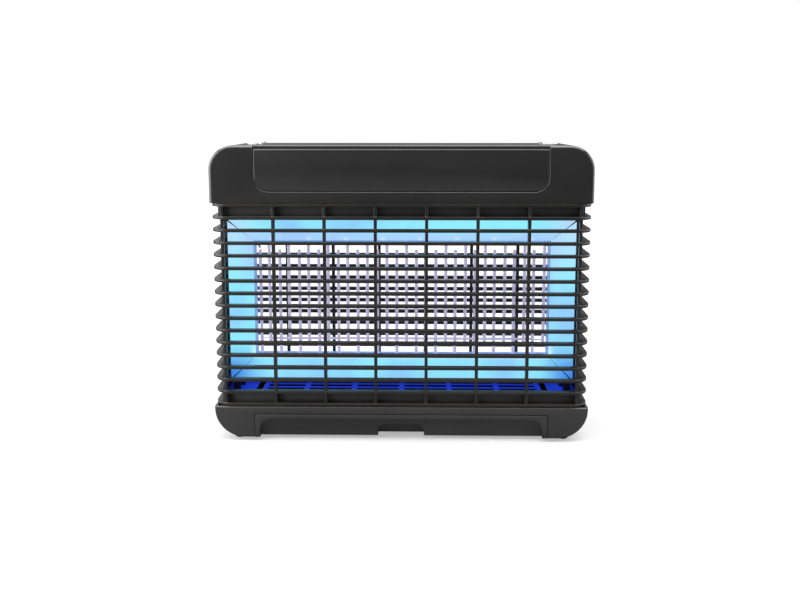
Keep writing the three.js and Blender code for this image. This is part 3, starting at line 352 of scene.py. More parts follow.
def settled_dust():
    """Pale specks on faces that look up."""
    group, source, sink = new_group(
        "settled dust",
        [("Color", "NodeSocketColor", (0.02, 0.02, 0.02, 1)), ("Amount", "NodeSocketFloat", 0.2)],
        [("Color", "NodeSocketColor")],
    )
    coords = group.nodes.new("ShaderNodeTexCoord").outputs["Object"]
    facing = group.nodes.new("ShaderNodeNewGeometry").outputs["Normal"]
    split = place(group, "ShaderNodeSeparateXYZ", Vector=facing)
    upward = span_of(group, split.outputs["Z"], 0.4, 1.0, smooth=False)
    specks = place(group, "ShaderNodeTexNoise", Vector=coords, Scale=900.0, Detail=2.0)
    mask = span_of(group, specks.outputs["Fac"], 0.55, 0.75, smooth=False)
    amount = product(group, upward, mask, source.outputs["Amount"])
    dusty = blend(group, amount, source.outputs["Color"], (0.55, 0.55, 0.56))
    group.links.new(dusty, sink.inputs["Color"])
    return group


GRAIN = moulded_grain()
DUST = settled_dust()


def new_material(name):
    material = bpy.data.materials.new(name)
    material.use_nodes = True
    tree = material.node_tree
    shader = tree.nodes["Principled BSDF"]
    return material, tree, shader


def use_group(tree, group, **inputs):
    node = tree.nodes.new("ShaderNodeGroup")
    node.node_tree = group
    for key, value in inputs.items():
        feed(tree, node.inputs[key], value)
    return node


def grained(name, **grain):
    """A material whose roughness and normal come from the moulded grain."""
    material, tree, shader = new_material(name)
    skin = use_group(tree, GRAIN, **grain)
    tree.links.new(skin.outputs["Roughness"], shader.inputs["Roughness"])
    tree.links.new(skin.outputs["Normal"], shader.inputs["Normal"])
    return material, tree, shader, skin


def tone(tree, factor, low, high):
    """A colour between two, by the factor."""
    ramp = place(tree, "ShaderNodeValToRGB", Fac=factor)
    ramp.color_ramp.elements[0].color = (*low, 1)
    ramp.color_ramp.elements[1].color = (*high, 1)
    ramp.color_ramp.elements[0].position = 0.35
    ramp.color_ramp.elements[1].position = 0.68
    return ramp.outputs["Color"]


def plastic(name, dark, light, smooth, rough, grain=0.12, scale=1400.0, dust=0.05,
            specular=0.5, coat=0.0):
    """Moulded plastic with mould grain, a slight colour drift and a little dust on top."""
    material, tree, shader, skin = grained(name, Scale=scale, Depth=grain, Smooth=smooth, Rough=rough)
    colour = tone(tree, skin.outputs["Cloud"], dark, light)
    dusty = use_group(tree, DUST, Color=colour, Amount=dust)
    tree.links.new(dusty.outputs["Color"], shader.inputs["Base Color"])
    shader.inputs["Specular IOR Level"].default_value = specular
    shader.inputs["Coat Weight"].default_value = coat
    shader.inputs["Coat Roughness"].default_value = 0.16
    tree.links.new(skin.outputs["Normal"], shader.inputs["Coat Normal"])
    return material


def metal(name, dark, light, smooth, rough, grain=0.05, scale=2600.0):
    material, tree, shader, skin = grained(name, Scale=scale, Depth=grain, Smooth=smooth, Rough=rough)
    tree.links.new(tone(tree, skin.outputs["Cloud"], dark, light), shader.inputs["Base Color"])
    shader.inputs["Metallic"].default_value = 1.0
    return material


DIODE_PITCH = 34 * MM


def glowing_panel():
    """Lit light-guide plastic: cyan in the middle of a panel, bluer to its lower corners, paler and violet
    at the upper ones, with the diodes showing as brighter spots along the edges next to the grid."""
    material, tree, shader, _ = grained("glowing diffuser", Scale=500.0, Depth=0.15, Smooth=0.25, Rough=0.4)
    coords = tree.nodes.new("ShaderNodeTexCoord").outputs["Object"]
    split = place(tree, "ShaderNodeSeparateXYZ", Vector=coords)
    far = maths(tree, "ABSOLUTE", split.outputs["X"])
    deep = maths(tree, "ABSOLUTE", split.outputs["Y"])
    z = split.outputs["Z"]

    cloud = place(tree, "ShaderNodeTexNoise", Vector=coords, Scale=13.0, Detail=3.0).outputs["Fac"]
    colour = blend(tree, span_of(tree, cloud, 0.35, 0.62), (0.26, 0.58, 0.97), (0.28, 0.84, 0.98))

    ends = span_of(tree, far, 0.72 * HALF_W, 0.95 * HALF_W)
    low = span_of(tree, z, ring_low.z + 20 * MM, ring_low.z - 15 * MM)
    high = span_of(tree, z, ring_high.z - 45 * MM, ring_high.z + 12 * MM)
    colour = blend(tree, product(tree, ends, low), colour, (0.035, 0.22, 0.74))
    colour = blend(tree, product(tree, ends, high, 0.55), colour, (0.60, 0.62, 0.96))

    near_grid = span_of(tree, deep, 14 * MM, 6 * MM)
    colour = blend(tree, product(tree, near_grid, 0.8, high), colour, (0.42, 0.58, 0.98))

    inner = span_of(tree, far, ring_high.x + 6 * MM, ring_high.x - 2 * MM)
    wave = place(tree, "ShaderNodeTexWave", {"wave_type": "BANDS", "bands_direction": "X"}, Vector=coords,
                 Scale=math.tau / (20 * DIODE_PITCH), Distortion=0.0, Detail=0.0).outputs["Fac"]
    above = span_of(tree, z, ring_high.z + 5 * MM, ring_high.z + 1.5 * MM)
    upper = span_of(tree, z, ring_high.z - 20 * MM, ring_high.z)
    points = product(tree, above, inner, span_of(tree, wave, 0.93, 1.0), upper, 0.3)
    colour = blend(tree, points, colour, (0.95, 1.0, 1.0))

    below = span_of(tree, z, ring_low.z - 3 * MM, ring_low.z - 0.8 * MM)
    lower = span_of(tree, z, ring_low.z + 20 * MM, ring_low.z)
    colour = blend(tree, product(tree, below, inner, lower), colour, (0.80, 0.98, 1.0))

    tree.links.new(colour, shader.inputs["Emission Color"])
    shader.inputs["Emission Strength"].default_value = 1.0
    shader.inputs["Base Color"].default_value = (0.03, 0.06, 0.08, 1)
    return material


SKIRT_INSET = 8.6 * MM
FLOOR_THICK = 4 * MM


def lit_floor():
    """Black plastic of the slotted floor, with its upper faces and the skirt lit blue by the lamps above."""
    material, tree, shader, skin = grained("lit inner frame", Scale=1200.0, Depth=0.15, Smooth=0.42,
                                           Rough=0.6)
    tree.links.new(tone(tree, skin.outputs["Cloud"], (0.012, 0.012, 0.013), (0.022, 0.022, 0.024)),
                   shader.inputs["Base Color"])
    at = place(tree, "ShaderNodeSeparateXYZ", Vector=tree.nodes.new("ShaderNodeTexCoord").outputs["Object"])
    facing = place(tree, "ShaderNodeSeparateXYZ",
                   Vector=tree.nodes.new("ShaderNodeNewGeometry").outputs["Normal"])
    far = maths(tree, "ABSOLUTE", at.outputs["X"])
    deep = maths(tree, "ABSOLUTE", at.outputs["Y"])
    floor_top = lower_low.z + FLOOR_THICK

    upward = span_of(tree, facing.outputs["Z"], 0.3, 0.9)
    low = maths(tree, "LESS_THAN", at.outputs["Z"], floor_top)
    ends = span_of(tree, far, HALF_W, HALF_W - 20 * MM)
    front = span_of(tree, deep, HALF_D - 2 * MM, HALF_D - 40 * MM)
    glow = blend(tree, product(tree, upward, low, ends, front), (0, 0, 0), (0.004, 0.030, 0.50))

    walls = span_of(tree, maths(tree, "ABSOLUTE", facing.outputs["Z"]), 0.5, 0.1)
    inside = maths(tree, "LESS_THAN", far, HALF_W - SKIRT_INSET)
    behind = maths(tree, "GREATER_THAN", at.outputs["Y"], 8 * MM - HALF_D)
    skirt = maths(tree, "GREATER_THAN", at.outputs["Z"], floor_top)
    glow = blend(tree, product(tree, walls, inside, behind, skirt, 0.8), glow, (0.004, 0.010, 0.16))

    tree.links.new(glow, shader.inputs["Emission Color"])
    shader.inputs["Emission Strength"].default_value = 1.0
    return material


def grid_steel():
    """Zinc-coated bars that stand in the violet light of the lamps."""
    material, tree, shader, skin = grained("grid steel", Scale=2200.0, Depth=0.05, Smooth=0.22, Rough=0.4)
    tree.links.new(tone(tree, skin.outputs["Cloud"], (0.62, 0.58, 0.72), (0.80, 0.78, 0.86)),
                   shader.inputs["Base Color"])
    shader.inputs["Metallic"].default_value = 0.45
    shader.inputs["Emission Color"].default_value = (0.42, 0.37, 0.60, 1)
    shader.inputs["Emission Strength"].default_value = 0.55
    return material


def clear_ring():
    """Clear plastic of the grid's ring, tinted by the light it carries."""
    material, tree, shader = new_material("clear ring")
    skin = use_group(tree, GRAIN, Scale=700.0, Depth=0.05, Smooth=0.15, Rough=0.3)
    tree.links.new(tone(tree, skin.outputs["Cloud"], (0.30, 0.52, 0.85), (0.45, 0.70, 0.95)),
                   shader.inputs["Base Color"])
    tree.links.new(skin.outputs["Roughness"], shader.inputs["Roughness"])
    shader.inputs["Emission Color"].default_value = (0.25, 0.45, 0.95, 1)
    shader.inputs["Emission Strength"].default_value = 0.35
    return material


ABS = plastic("black casing", (0.0105, 0.0105, 0.0105), (0.0135, 0.0135, 0.0135),
              0.30, 0.36, grain=0.10, specular=0.3, coat=0.7)
BASE_ABS = plastic("black base", (0.020, 0.020, 0.020), (0.026, 0.026, 0.026),
                   0.32, 0.38, grain=0.12, specular=0.4, coat=0.35)
CAGE = plastic("cage plastic", (0.0085, 0.0075, 0.007), (0.013, 0.0115, 0.0105),
               0.26, 0.36, grain=0.05, specular=0.4, coat=0.1)
TRAY = plastic("tray plastic", (0.019, 0.019, 0.019), (0.025, 0.025, 0.025),
               0.32, 0.38, grain=0.16, specular=0.4, coat=0.35)
INNER = plastic("inner frame", (0.010, 0.010, 0.011), (0.018, 0.018, 0.019), 0.45, 0.6)
RUBBER = plastic("rubber", (0.008, 0.008, 0.008), (0.014, 0.014, 0.014), 0.7, 0.9, grain=0.4)
STEEL = metal("bright steel", (0.62, 0.61, 0.66), (0.78, 0.77, 0.82), 0.22, 0.38)
DARK_STEEL = metal("dark steel", (0.05, 0.05, 0.055), (0.10, 0.10, 0.11), 0.3, 0.5)
BOARD = plastic("green board", (0.010, 0.09, 0.035), (0.014, 0.12, 0.05), 0.35, 0.5)
LED_BOARD = plastic("diode strip", (0.75, 0.78, 0.80), (0.85, 0.87, 0.9), 0.4, 0.5)
TAPE = plastic("amber tape", (0.45, 0.25, 0.04), (0.60, 0.36, 0.08), 0.3, 0.45)
RESIN = plastic("blue resin", (0.012, 0.03, 0.22), (0.02, 0.06, 0.32), 0.15, 0.3)
NYLON = plastic("white nylon", (0.62, 0.62, 0.58), (0.72, 0.72, 0.68), 0.4, 0.55)
VIOLET = plastic("violet lead", (0.10, 0.05, 0.35), (0.14, 0.08, 0.45), 0.35, 0.5)
WHITE = plastic("white lead", (0.7, 0.7, 0.68), (0.8, 0.8, 0.78), 0.35, 0.5)
GLOW = glowing_panel()
FLOOR_FRAME = lit_floor()
CLEAR = clear_ring()
GRID_STEEL = grid_steel()

BY_SLOT = {
    "casing_abs": ABS, "cage_abs": CAGE, "tray_abs": TRAY, "inner_frame": INNER, "rubber": RUBBER,
    "diffuser": GLOW, "grid_ring_clear": CLEAR, "steel": STEEL, "dark_steel": DARK_STEEL,
    "circuit_board": BOARD, "led_strip": LED_BOARD, "transformer_tape": TAPE, "capacitor": RESIN,
    "terminal": NYLON, "lead_violet": VIOLET, "lead_white": WHITE,
}


def dress_cad_nodes():
    """Every CAD node takes the material of its slot."""
    for name, obj in frame["nodes"].items():
        obj.data.materials.clear()
        obj.data.materials.append(BY_SLOT[SLOT_OF[name]])


# ---- Camera, light and floor ----------------------------------------------------------------

CAMERA_PLACE = (0.0124, -0.8156, 0.287)
CAMERA_PITCH = 7.95  # degrees down
CAMERA_YAW = 0.98
LENS = 40.1
LENS_SHIFT = -0.07
WORLD_LIGHT = 0.22
BRIGHT = 1.05  # what the eye sees of the sweep, just past white
FLOOR_LIFT = 0.42  # glow of the floor beside the object, which leaves its shadow visible


def make_camera():
    """Stands in front, a little to the right, and looks slightly down."""
    deselect()
    bpy.ops.object.camera_add(
        location=CAMERA_PLACE,
        rotation=(math.radians(90 - CAMERA_PITCH), 0, math.radians(CAMERA_YAW)),
    )
    camera = bpy.context.object
    camera.name = "camera"
    camera.data.lens = LENS
    camera.data.sensor_width = 36
    camera.data.shift_y = LENS_SHIFT
    bpy.context.scene.camera = camera


def area_light(name, place_at, aim, size, power):
    data = bpy.data.lights.new(name, "AREA")
    data.shape = "RECTANGLE"
    data.size, data.size_y = size
    data.energy = power
    light = bpy.data.objects.new(name, data)
    bpy.context.scene.collection.objects.link(light)
    light.location = place_at
    light.rotation_euler = (Vector(aim) - Vector(place_at)).to_track_quat("-Z", "Y").to_euler()


def make_studio():
    """A white sweep: bright to the eye, dimmer as a light, with four softboxes round it."""
    area_light("top", (0, -0.1, 1.3), (0, -0.05, 0.2), (2.2, 1.5), 62)
    area_light("key", (-1.15, -0.3, 0.5), (0, 0, 0.2), (1.6, 1.1), 26)
    area_light("rear_left", (-1.1, 1.9, 0.85), (-0.1, 0, 0.12), (1.2, 0.8), 2.5)
    area_light("right", (1.3, 0, 0.5), (0, 0, 0.2), (1.9, 0.9), 13)
    world = bpy.data.worlds.new("studio")
    bpy.context.scene.world = world
    world.use_nodes = True
    tree = world.node_tree
    seen = tree.nodes.new("ShaderNodeLightPath").outputs["Is Camera Ray"]
    level = span_of(tree, seen, 0.0, 1.0, WORLD_LIGHT, BRIGHT, smooth=False)
    background = tree.nodes["Background"]
    background.inputs["Color"].default_value = (1, 1, 1, 1)
    tree.links.new(level, background.inputs["Strength"])
    bpy.context.scene.view_settings.view_transform = "Standard"


def make_floor():
    """A pale floor that glows more with distance, so it meets the white sweep without an edge."""
    deselect()
    bpy.ops.mesh.primitive_plane_add(size=40, location=(0, 0, -0.2 * MM))
    floor = bpy.context.object
    floor.name = "studio_floor"
    material, tree, shader = new_material("pale floor")
    shader.inputs["Roughness"].default_value = 0.6
    shader.inputs["Specular IOR Level"].default_value = 0.2
    shader.inputs["Emission Color"].default_value = (1, 1, 1, 1)
    seen = tree.nodes.new("ShaderNodeLightPath").outputs["Is Camera Ray"]
    coords = tree.nodes.new("ShaderNodeTexCoord").outputs["Object"]
    away = place(tree, "ShaderNodeVectorMath", {"operation": "LENGTH"}, i0=coords)
    lift = span_of(tree, away.outputs["Value"], 0.4, 1.6, FLOOR_LIFT, BRIGHT, smooth=False)
    tree.links.new(maths(tree, "MULTIPLY", seen, lift), shader.inputs["Emission Strength"])
    tree.links.new(blend(tree, seen, (0.2, 0.2, 0.2), (0.33, 0.33, 0.335)), shader.inputs["Base Color"])
    floor.data.materials.append(material)


# ---- Cage -----------------------------------------------------------------------------------

SLAT_EDGE = 0.45 * MM
BAR_INSET = 0.4 * MM  # a bar stays this far inside the slats
BAR_SETBACK = 0.3 * MM
SIDE_BAR_INSET = 2.9 * MM


def slat(name, z, side_depth):
    """One slat: a thin block with rounded front corners, the same shape but smaller cut out of it."""
    obj = block(name, (-HALF_W, -HALF_D, z), (HALF_W, -SEAM, z + SLAT_HEIGHT))
    bevel(obj, lambda a, b: facing_edge(-HALF_D)(a, b) and near(a.x, b.x), SLAT_CORNER, 10)
    inner_x, inner_y = HALF_W - side_depth, -HALF_D + SLAT_FRONT
    hole = block("hole", (-inner_x, inner_y, z - 3 * PAST), (inner_x, 8 * PAST, z + SLAT_HEIGHT + 3 * PAST))
    bevel(hole, lambda a, b: facing_edge(inner_y)(a, b) and near(a.x, b.x), SLAT_CORNER - SLAT_FRONT, 8)
    carve(obj, hole)
    modify(obj, "BEVEL", width=SLAT_EDGE, segments=2, limit_method="ANGLE", angle_limit=math.radians(40))
    return obj


def cage_bar(name, x):
    """An upright bar; the end ones start where the slats' corners have curved back to."""
    past = max(0.0, abs(x) + BAR_WIDTH / 2 - (HALF_W - SLAT_CORNER))
    setback = SLAT_CORNER - math.sqrt(SLAT_CORNER ** 2 - past ** 2)
    bar = block(name, (x - BAR_WIDTH / 2, -HALF_D + BAR_SETBACK + setback, cage_low.z + BAR_INSET),
                (x + BAR_WIDTH / 2, -HALF_D + SLAT_FRONT - BAR_INSET, cage_high.z - BAR_INSET))
    modify(bar, "BEVEL", width=0.4 * MM, segments=2)
    return bar


def side_bar(side):
    """The bar in the middle of a side, next to its twin on the other cage."""
    outer = side * (HALF_W - SIDE_BAR_INSET)
    x0, x1 = sorted((outer, outer - side * BAR_WIDTH))
    bar = block("side_bar", (x0, -BAR_WIDTH, cage_low.z + BAR_INSET),
                (x1, -SEAM - 0.05 * MM, cage_high.z - BAR_INSET))
    modify(bar, "BEVEL", width=0.3 * MM, segments=2)
    return bar


def build_cages():
    """The front cage, and the rear one as its copy turned half round."""
    rim = slat("rim", cage_low.z, RIM_SIDE)
    first = slat("slat", cage_low.z + SLAT_PITCH, SLAT_SIDE)
    parts = [rim, first]
    for i in range(2, SLATS - 1):
        parts.append(copied(first, f"slat_{i}", Matrix.Translation((0, 0, (i - 1) * SLAT_PITCH))))
    parts.append(copied(rim, "top_rim", Matrix.Translation((0, 0, (SLATS - 1) * SLAT_PITCH))))
    for i in range(BARS):
        parts.append(cage_bar(f"bar_{i}", -END_BAR + 2 * END_BAR * i / (BARS - 1)))
    front = join("front_grille", *parts, side_bar(-1), side_bar(1))
    shade(front)
    rear = copied(front, "rear_grille", Matrix.Rotation(math.pi, 4, "Z"))
    finish(front, "front_cage", CAGE)
    finish(rear, "rear_cage", CAGE)


# ---- Top housing and saddle -----------------------------------------------------------------

SADDLE_CHAMFER = 3 * MM
SADDLE_LEDGE = 1.6 * MM  # step along the saddle's upper edge: its depth
SADDLE_DROP = 3.4 * MM  # and its height
SHELL_SIDE = 2.5 * MM
SHELL_FRONT = 5.2 * MM  # thick enough for the saddle's seat
SHELL_CORNER = 17 * MM
SEAT_EDGE = 1.1 * MM
NICHE = 12.5 * MM
NICHE_DEPTH = 5 * MM
SWITCH_WINDOW = (6.5 * MM, 9.5 * MM)
GLAND_HOLE = 5 * MM
RING_X = 133.5 * MM
RING_POCKET = 10.5 * MM
POCKET_DEPTH = 0.9 * MM
RING_CUT_X = 127 * MM
RING_CUT = (4 * MM, 3.5 * MM)
SCREW_BORE = 3.3 * MM
SCREW_SEAT = 1.6 * MM
SHANK_BORE = 1.8 * MM
BORE_START = 30 * MM  # the holes through the rear wall start this far from the middle


def saddle_block(name, grow, depth):
    """The saddle's outline drawn through the depth, its lower corners rounded."""
    obj = block(name, (saddle_low.x - grow, -depth, saddle_low.z - grow),
                (saddle_high.x + grow, depth, saddle_high.z + (5 * PAST if grow else 0)))
    bevel(obj, corner_edge(saddle_low.z - grow), SADDLE_CORNER + grow, 10)
    return obj


def saddle_core(name, shrink, half_x):
    """What the saddle straddles: a block with chamfered upper edges."""
    y = HALF_D - SADDLE_WALL - shrink
    z = saddle_high.z - SADDLE_WALL - shrink
    obj = block(name, (-half_x, -y, 100 * MM), (half_x, y, z))
    bevel(obj, lambda a, b: near(a.z, z) and near(b.z, z) and near(a.y, b.y), SADDLE_CHAMFER, 1)
    return obj


def screw_cuts(node, side):
    """Head seat and shank hole of a rear screw, on the side asked for."""
    low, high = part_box(node)
    x = side * (low.x + high.x) / 2
    z = (low.z + high.z) / 2
    return [rod("bore", SCREW_BORE, (x, HALF_D - SCREW_SEAT, z), (x, HALF_D + PAST, z)),
            rod("shank_hole", SHANK_BORE, (x, BORE_START, z), (x, HALF_D, z), 16)]


def rear_niche(x, z):
    """A square hollow with round corners in the rear wall."""
    niche = block("niche", (x - NICHE, HALF_D - NICHE_DEPTH, z - NICHE),
                  (x + NICHE, HALF_D + PAST, z + NICHE))
    bevel(niche, lambda a, b: near(a.x, b.x) and near(a.z, b.z), 2 * MM, 4)
    return niche


def build_housing():
    """The top shell: hollow, with the saddle's seat, ring pockets, and niches for switch and gland."""
    low, high = housing_low, housing_high
    obj = block("housing_shell", low, high)
    bevel(obj, corner_edge(high.z), HOUSING_CORNER, 14)
    bevel(obj, lambda a, b: near(abs(a.y), HALF_D) and near(a.y, b.y)
          and not (near(a.z, low.z) and near(b.z, low.z)), HOUSING_EDGE, 6)
    cavity = block("cavity", (-HALF_W + SHELL_SIDE, -HALF_D + SHELL_FRONT, low.z - 10 * PAST),
                   (HALF_W - SHELL_SIDE, HALF_D - SHELL_FRONT, high.z - SHELL_FRONT))
    bevel(cavity, corner_edge(high.z - SHELL_FRONT), SHELL_CORNER, 8)
    seat = carve(saddle_block("seat", GAP, HALF_D + PAST), saddle_core("core", GAP, HALF_W))
    carve(obj, cavity, seat)
    seat_reach = saddle_high.x + 2 * MM
    bevel(obj, lambda a, b: near(abs(a.y), HALF_D, 0.1 * MM) and near(a.y, b.y, 0.1 * MM)
          and max(abs(a.x), abs(b.x)) < seat_reach and min(a.z, b.z) > low.z + 1 * MM, SEAT_EDGE, 4)
    switch_low, switch_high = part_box("power_switch_body")
    switch_x = (switch_low.x + switch_high.x) / 2
    rise = (switch_low.z + switch_high.z) / 2
    cutters = []
    for side in (-1, 1):
        cutters.append(rear_niche(abs(switch_x) * side, rise))
        cutters.append(block("pocket", (side * RING_X - RING_POCKET, -RING_POCKET, high.z - POCKET_DEPTH),
                             (side * RING_X + RING_POCKET, RING_POCKET, high.z + PAST)))
        cutters += screw_cuts("housing_screw_right", side)
    half_x, half_z = SWITCH_WINDOW
    cutters.append(block("window", (switch_x - half_x, BORE_START, rise - half_z),
                         (switch_x + half_x, HALF_D, rise + half_z)))
    cutters.append(rod("gland_hole", GLAND_HOLE, (-switch_x, BORE_START, rise), (-switch_x, HALF_D, rise)))
    carve(obj, *cutters)
    shade(obj, SHELL_SHARP)
    finish(obj, "top_housing", ABS)


def build_saddle():
    """The cover over the housing: a bent shell with stepped upper edges and cuts for the rings."""
    top = saddle_high.z
    obj = saddle_block("saddle_shell", 0.0, HALF_D)
    steps = []
    for side in (-1, 1):
        y0, y1 = sorted((side * (HALF_D - SADDLE_LEDGE), side * (HALF_D + 2 * PAST)))
        steps.append(block("step", (-HALF_W, y0, top - SADDLE_DROP), (HALF_W, y1, top + 2 * PAST)))
    carve(obj, saddle_core("inside", 0.0, HALF_W), *steps)
    bevel(obj, lambda a, b: near(a.z, top) and near(b.z, top) and near(a.y, b.y)
          and abs(a.y) > HALF_D - 3 * MM, 1.2 * MM, 4)
    bevel(obj, lambda a, b: near(abs(a.y), HALF_D) and near(a.y, b.y), 0.9 * MM, 3)
    cuts = []
    half_x, depth = RING_CUT
    for side in (-1, 1):
        x = side * RING_CUT_X
        cuts.append(block("ring_cut", (x - half_x, -RING_POCKET, top - depth),
                          (x + half_x, RING_POCKET, top + PAST)))
        cuts += screw_cuts("saddle_screw_right", side)
    carve(obj, *cuts)
    shade(obj, SHELL_SHARP)
    finish(obj, "saddle_cover", ABS)


# ---- Base and tray --------------------------------------------------------------------------

BASE_CORNER = 26.5 * MM
BASE_EDGE = 1.4 * MM
BASE_WALL = 2.5 * MM
BAY_WALL_INSET = 1.2 * MM
BAY = tray_high.x + GAP
FEET = [(x, y) for x in (-147 * MM, 147 * MM) for y in (-33 * MM, 33 * MM)]
FOOT_SOCKET = (5.3 * MM, 4.9 * MM)
SCREW_WAY = (3.6 * MM, 1.2 * MM)
SCREW_WAY_Y = 12 * MM
SLIDE_GAP = 0.5 * MM
FLANGE = 4 * MM
FLANGE_THICK = 2 * MM
RAIL_DROP = 3.7 * MM  # from the top of the tray to the top of a rail
RAIL_THICK = 2.2 * MM
RAIL_START = 10.5 * MM
TRAY_PANEL = 8.5 * MM
TRAY_RECESS = 7 * MM
TRAY_WALL = 2 * MM
TRAY_TAB = 4.3 * MM
TRAY_LIP = 4.1 * MM
TRAY_EDGE = 0.5 * MM
BODY_START = 8 * MM  # the tray's body overlaps its panel from here on
ARCH_CORNER = 11.5 * MM
NOTCH = (20.8 * MM, 10.4 * MM, 7 * MM)
NOTCH_DEPTH = 16.5 * MM


def build_base():
    """The bottom shell: hollow, with the walls, bay and rails of the tray, and holes underneath."""
    low, high = base_low, base_high
    obj = block("base_casing", low, high)
    bevel(obj, corner_edge(low.z), BASE_CORNER, 14)
    bevel(obj, lambda a, b: near(abs(a.y), HALF_D) and near(a.y, b.y), BASE_EDGE, 4)
    inside = block("inside", (low.x + BASE_WALL, -HALF_D + BASE_WALL, low.z + BASE_WALL),
                   (high.x - BASE_WALL, HALF_D - BASE_WALL, high.z + PAST))
    bevel(inside, corner_edge(low.z + BASE_WALL), BASE_CORNER - BASE_WALL, 10)
    carve(obj, inside)
    walls = []
    for side in (-1, 1):
        x0, x1 = sorted((side * BAY, side * (BAY + BASE_WALL)))
        walls.append(block("wall", (x0, -HALF_D + BAY_WALL_INSET, low.z + 1 * MM),
                           (x1, HALF_D - BAY_WALL_INSET, high.z - 1 * MM)))
    combine(obj, "UNION", walls)
    bay_top = tray_high.z + SLIDE_GAP
    carve(obj, block("bay", (-BAY, -HALF_D - PAST, 0), (BAY, HALF_D - BASE_WALL, bay_top)))
    bevel(obj, lambda a, b: facing_edge(-HALF_D)(a, b) and max(abs(a.x), abs(b.x)) < BAY + 1 * MM
          and max(a.z, b.z) < tray_high.z + 1 * MM, TRAY_EDGE, 2)
    holes = []
    socket_radius, socket_depth = FOOT_SOCKET
    way_radius, way_depth = SCREW_WAY
    for x, y in FEET:
        screw_y = math.copysign(SCREW_WAY_Y, y)
        holes.append(rod("socket", socket_radius, (x, y, 0), (x, y, low.z + socket_depth)))
        holes.append(rod("screw_way", way_radius, (x, screw_y, 0), (x, screw_y, low.z + way_depth), 20))
    carve(obj, *holes)
    rails = []
    rail_top = tray_high.z - RAIL_DROP
    for side in (-1, 1):
        x0, x1 = sorted((side * (BAY - FLANGE), side * (BAY + 0.2 * MM)))
        rails.append(block("rail", (x0, -HALF_D + RAIL_START, rail_top - RAIL_THICK),
                           (x1, HALF_D - BAY_WALL_INSET, rail_top)))
    combine(obj, "UNION", rails)
    shade(obj, SHELL_SHARP)
    finish(obj, "base_shell", BASE_ABS)


def arch_block(name, half_x, low_z, high_z, corner, y0, y1):
    """A block whose upper corners are round."""
    obj = block(name, (-half_x, y0, low_z), (half_x, y1, high_z))
    bevel(obj, corner_edge(high_z), corner, 10)
    return obj


def build_tray():
    """Front panel with its arch and finger notch, and the open box behind it that hangs on flanges."""
    low, high = tray_low, tray_high
    front = low.y
    body_x = BAY - FLANGE - SLIDE_GAP
    tray = block("tray", (low.x, front, low.z), (high.x, front + TRAY_PANEL, high.z))
    body = block("body", (-body_x, front + BODY_START, low.z), (body_x, high.y, high.z))
    flange = block("flange", (low.x + SLIDE_GAP, front + BODY_START, high.z - FLANGE_THICK),
                   (high.x - SLIDE_GAP, high.y, high.z))
    combine(tray, "UNION", [body, flange])
    carve(tray, block("inside", (-body_x + TRAY_WALL, front + TRAY_PANEL, low.z + TRAY_WALL),
                      (body_x - TRAY_WALL, high.y - TRAY_WALL, high.z + PAST)))
    half, height, corner = NOTCH
    back = front + NOTCH_DEPTH
    hood = arch_block("hood", half + TRAY_WALL, low.z, low.z + height + TRAY_WALL, corner,
                      front + BODY_START, back + TRAY_WALL)
    combine(tray, "UNION", [hood])
    recess = arch_block("recess", tray_high.x - TRAY_TAB, low.z - PAST, high.z - TRAY_LIP, ARCH_CORNER,
                        front - PAST, front + TRAY_RECESS)
    grip = arch_block("grip", half, low.z - 2 * PAST, low.z + height, corner, front - 2 * PAST, back)
    carve(tray, recess, grip)
    bevel(tray, facing_edge(front), TRAY_EDGE, 2)
    bevel(tray, lambda a, b: facing_edge(front + TRAY_RECESS)(a, b)
          and max(abs(a.x), abs(b.x)) < half + 0.5 * MM
          and max(a.z, b.z) < low.z + height + 0.5 * MM, TRAY_EDGE, 2)
    shade(tray, SHELL_SHARP)
    finish(tray, "collection_tray", TRAY)


# ---- High-voltage combs ---------------------------------------------------------------------

COMB_PITCH = 9.08 * MM
COMB_BAR = 3 * MM
COMB_BUS = 3 * MM
TIE_RADIUS = 0.55 * MM
TIE_INSET = 0.2 * MM
TIES = (6 * MM, 14 * MM)  # from the bars' tips, and from the ring
BEAD_RADIUS = 0.7 * MM


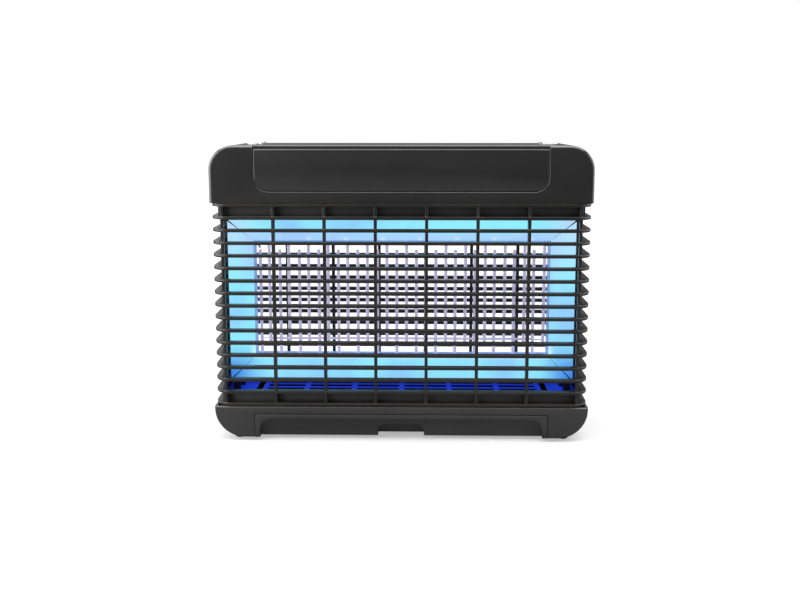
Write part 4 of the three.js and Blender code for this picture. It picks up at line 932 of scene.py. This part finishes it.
def build_comb(node, name, up):
    """Rounded bars on a bus strip with two tie wires; up is +1 where the bars stand on the bus."""
    low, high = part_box(node)
    y = (low.y + high.y) / 2
    half = (high.y - low.y) / 2
    bus_z = low.z if up > 0 else high.z - COMB_BUS
    bus = block("bus", (low.x, low.y, bus_z), (high.x, high.y, bus_z + COMB_BUS))
    modify(bus, "BEVEL", width=0.3 * MM, segments=2)
    bar = block("bar", (low.x, y - half * 0.9, low.z + 0.5 * MM),
                (low.x + COMB_BAR, y + half * 0.9, high.z - 0.1 * MM))
    bevel(bar, lambda a, b: near(a.x, b.x) and near(a.y, b.y), 0.45 * MM, 3)
    parts = [bus, bar]
    count = round((high.x - low.x - COMB_BAR) / (2 * COMB_PITCH)) + 1
    for i in range(1, count):
        parts.append(copied(bar, f"bar_{i}", Matrix.Translation((2 * COMB_PITCH * i, 0, 0))))
    tip = high.z if up > 0 else low.z
    root = ring_low.z + 1.5 * MM if up > 0 else ring_high.z - 1.5 * MM
    for z in (tip - up * TIES[0], root + up * TIES[1]):
        parts.append(rod("tie", TIE_RADIUS, (low.x + TIE_INSET, y, z), (high.x - TIE_INSET, y, z), 10))
    comb = join(name, *parts)
    shade(comb)
    finish(comb, node, GRID_STEEL)


def build_mitre_beads(end):
    """Dark sealing beads along the corners where two panels of one end meet."""
    top_low, top_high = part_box("front_diffuser_top")
    left_low, left_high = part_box("front_diffuser_left")
    turn = 1 if end == "front" else -1
    outer_y, inner_y = turn * top_low.y, turn * top_high.y
    parts = []
    for side in (-1, 1):
        outer_x, inner_x = -side * left_low.x, -side * left_high.x
        for outer_z, inner_z in ((top_high.z, top_low.z), (left_low.z, ring_low.z - GAP)):
            parts.append(rod("bead", BEAD_RADIUS, (outer_x, outer_y, outer_z),
                             (inner_x, inner_y, inner_z), 8))
    beads = join(f"mitre_beads_{end}", *parts)
    shade(beads)
    detail(beads, f"{end}_diffuser_top", INNER)


# ---- Assembly -------------------------------------------------------------------------------

make_camera()
make_studio()
make_floor()
dress_cad_nodes()
build_cages()
build_housing()
build_saddle()
build_base()
build_tray()
build_mitre_beads("front")
build_mitre_beads("rear")
build_comb("grid_comb_rear", "comb_rear", 1)
build_comb("grid_comb_front", "comb_front", -1)
for cad_name, edge in (
    ("upper_frame", 0.3), ("light_frame", 0.2),
    ("grid_ring", 0.2), ("power_switch_body", 0.3), ("power_switch_rocker", 0.4), ("cord_gland", 0.5),
    ("driver_board", 0.15), ("hv_transformer", 0.4), ("hv_capacitor_a", 1.2), ("hv_capacitor_b", 1.2),
    ("smoothing_capacitor", 0.6), ("terminal_block", 0.4),
):
    refined(cad_name, BY_SLOT[SLOT_OF[cad_name]], edge * MM)
refined("lower_frame", FLOOR_FRAME, 0.3 * MM)
for end in ("front", "rear"):
    for side in ("left", "right"):
        refined(f"foot_{end}_{side}", RUBBER, 0.4 * MM, 3)
for side in ("left", "right"):
    refined(f"hanging_ring_{side}", STEEL, 0)
    refined(f"ring_bracket_{side}", STEEL, 0.15 * MM)
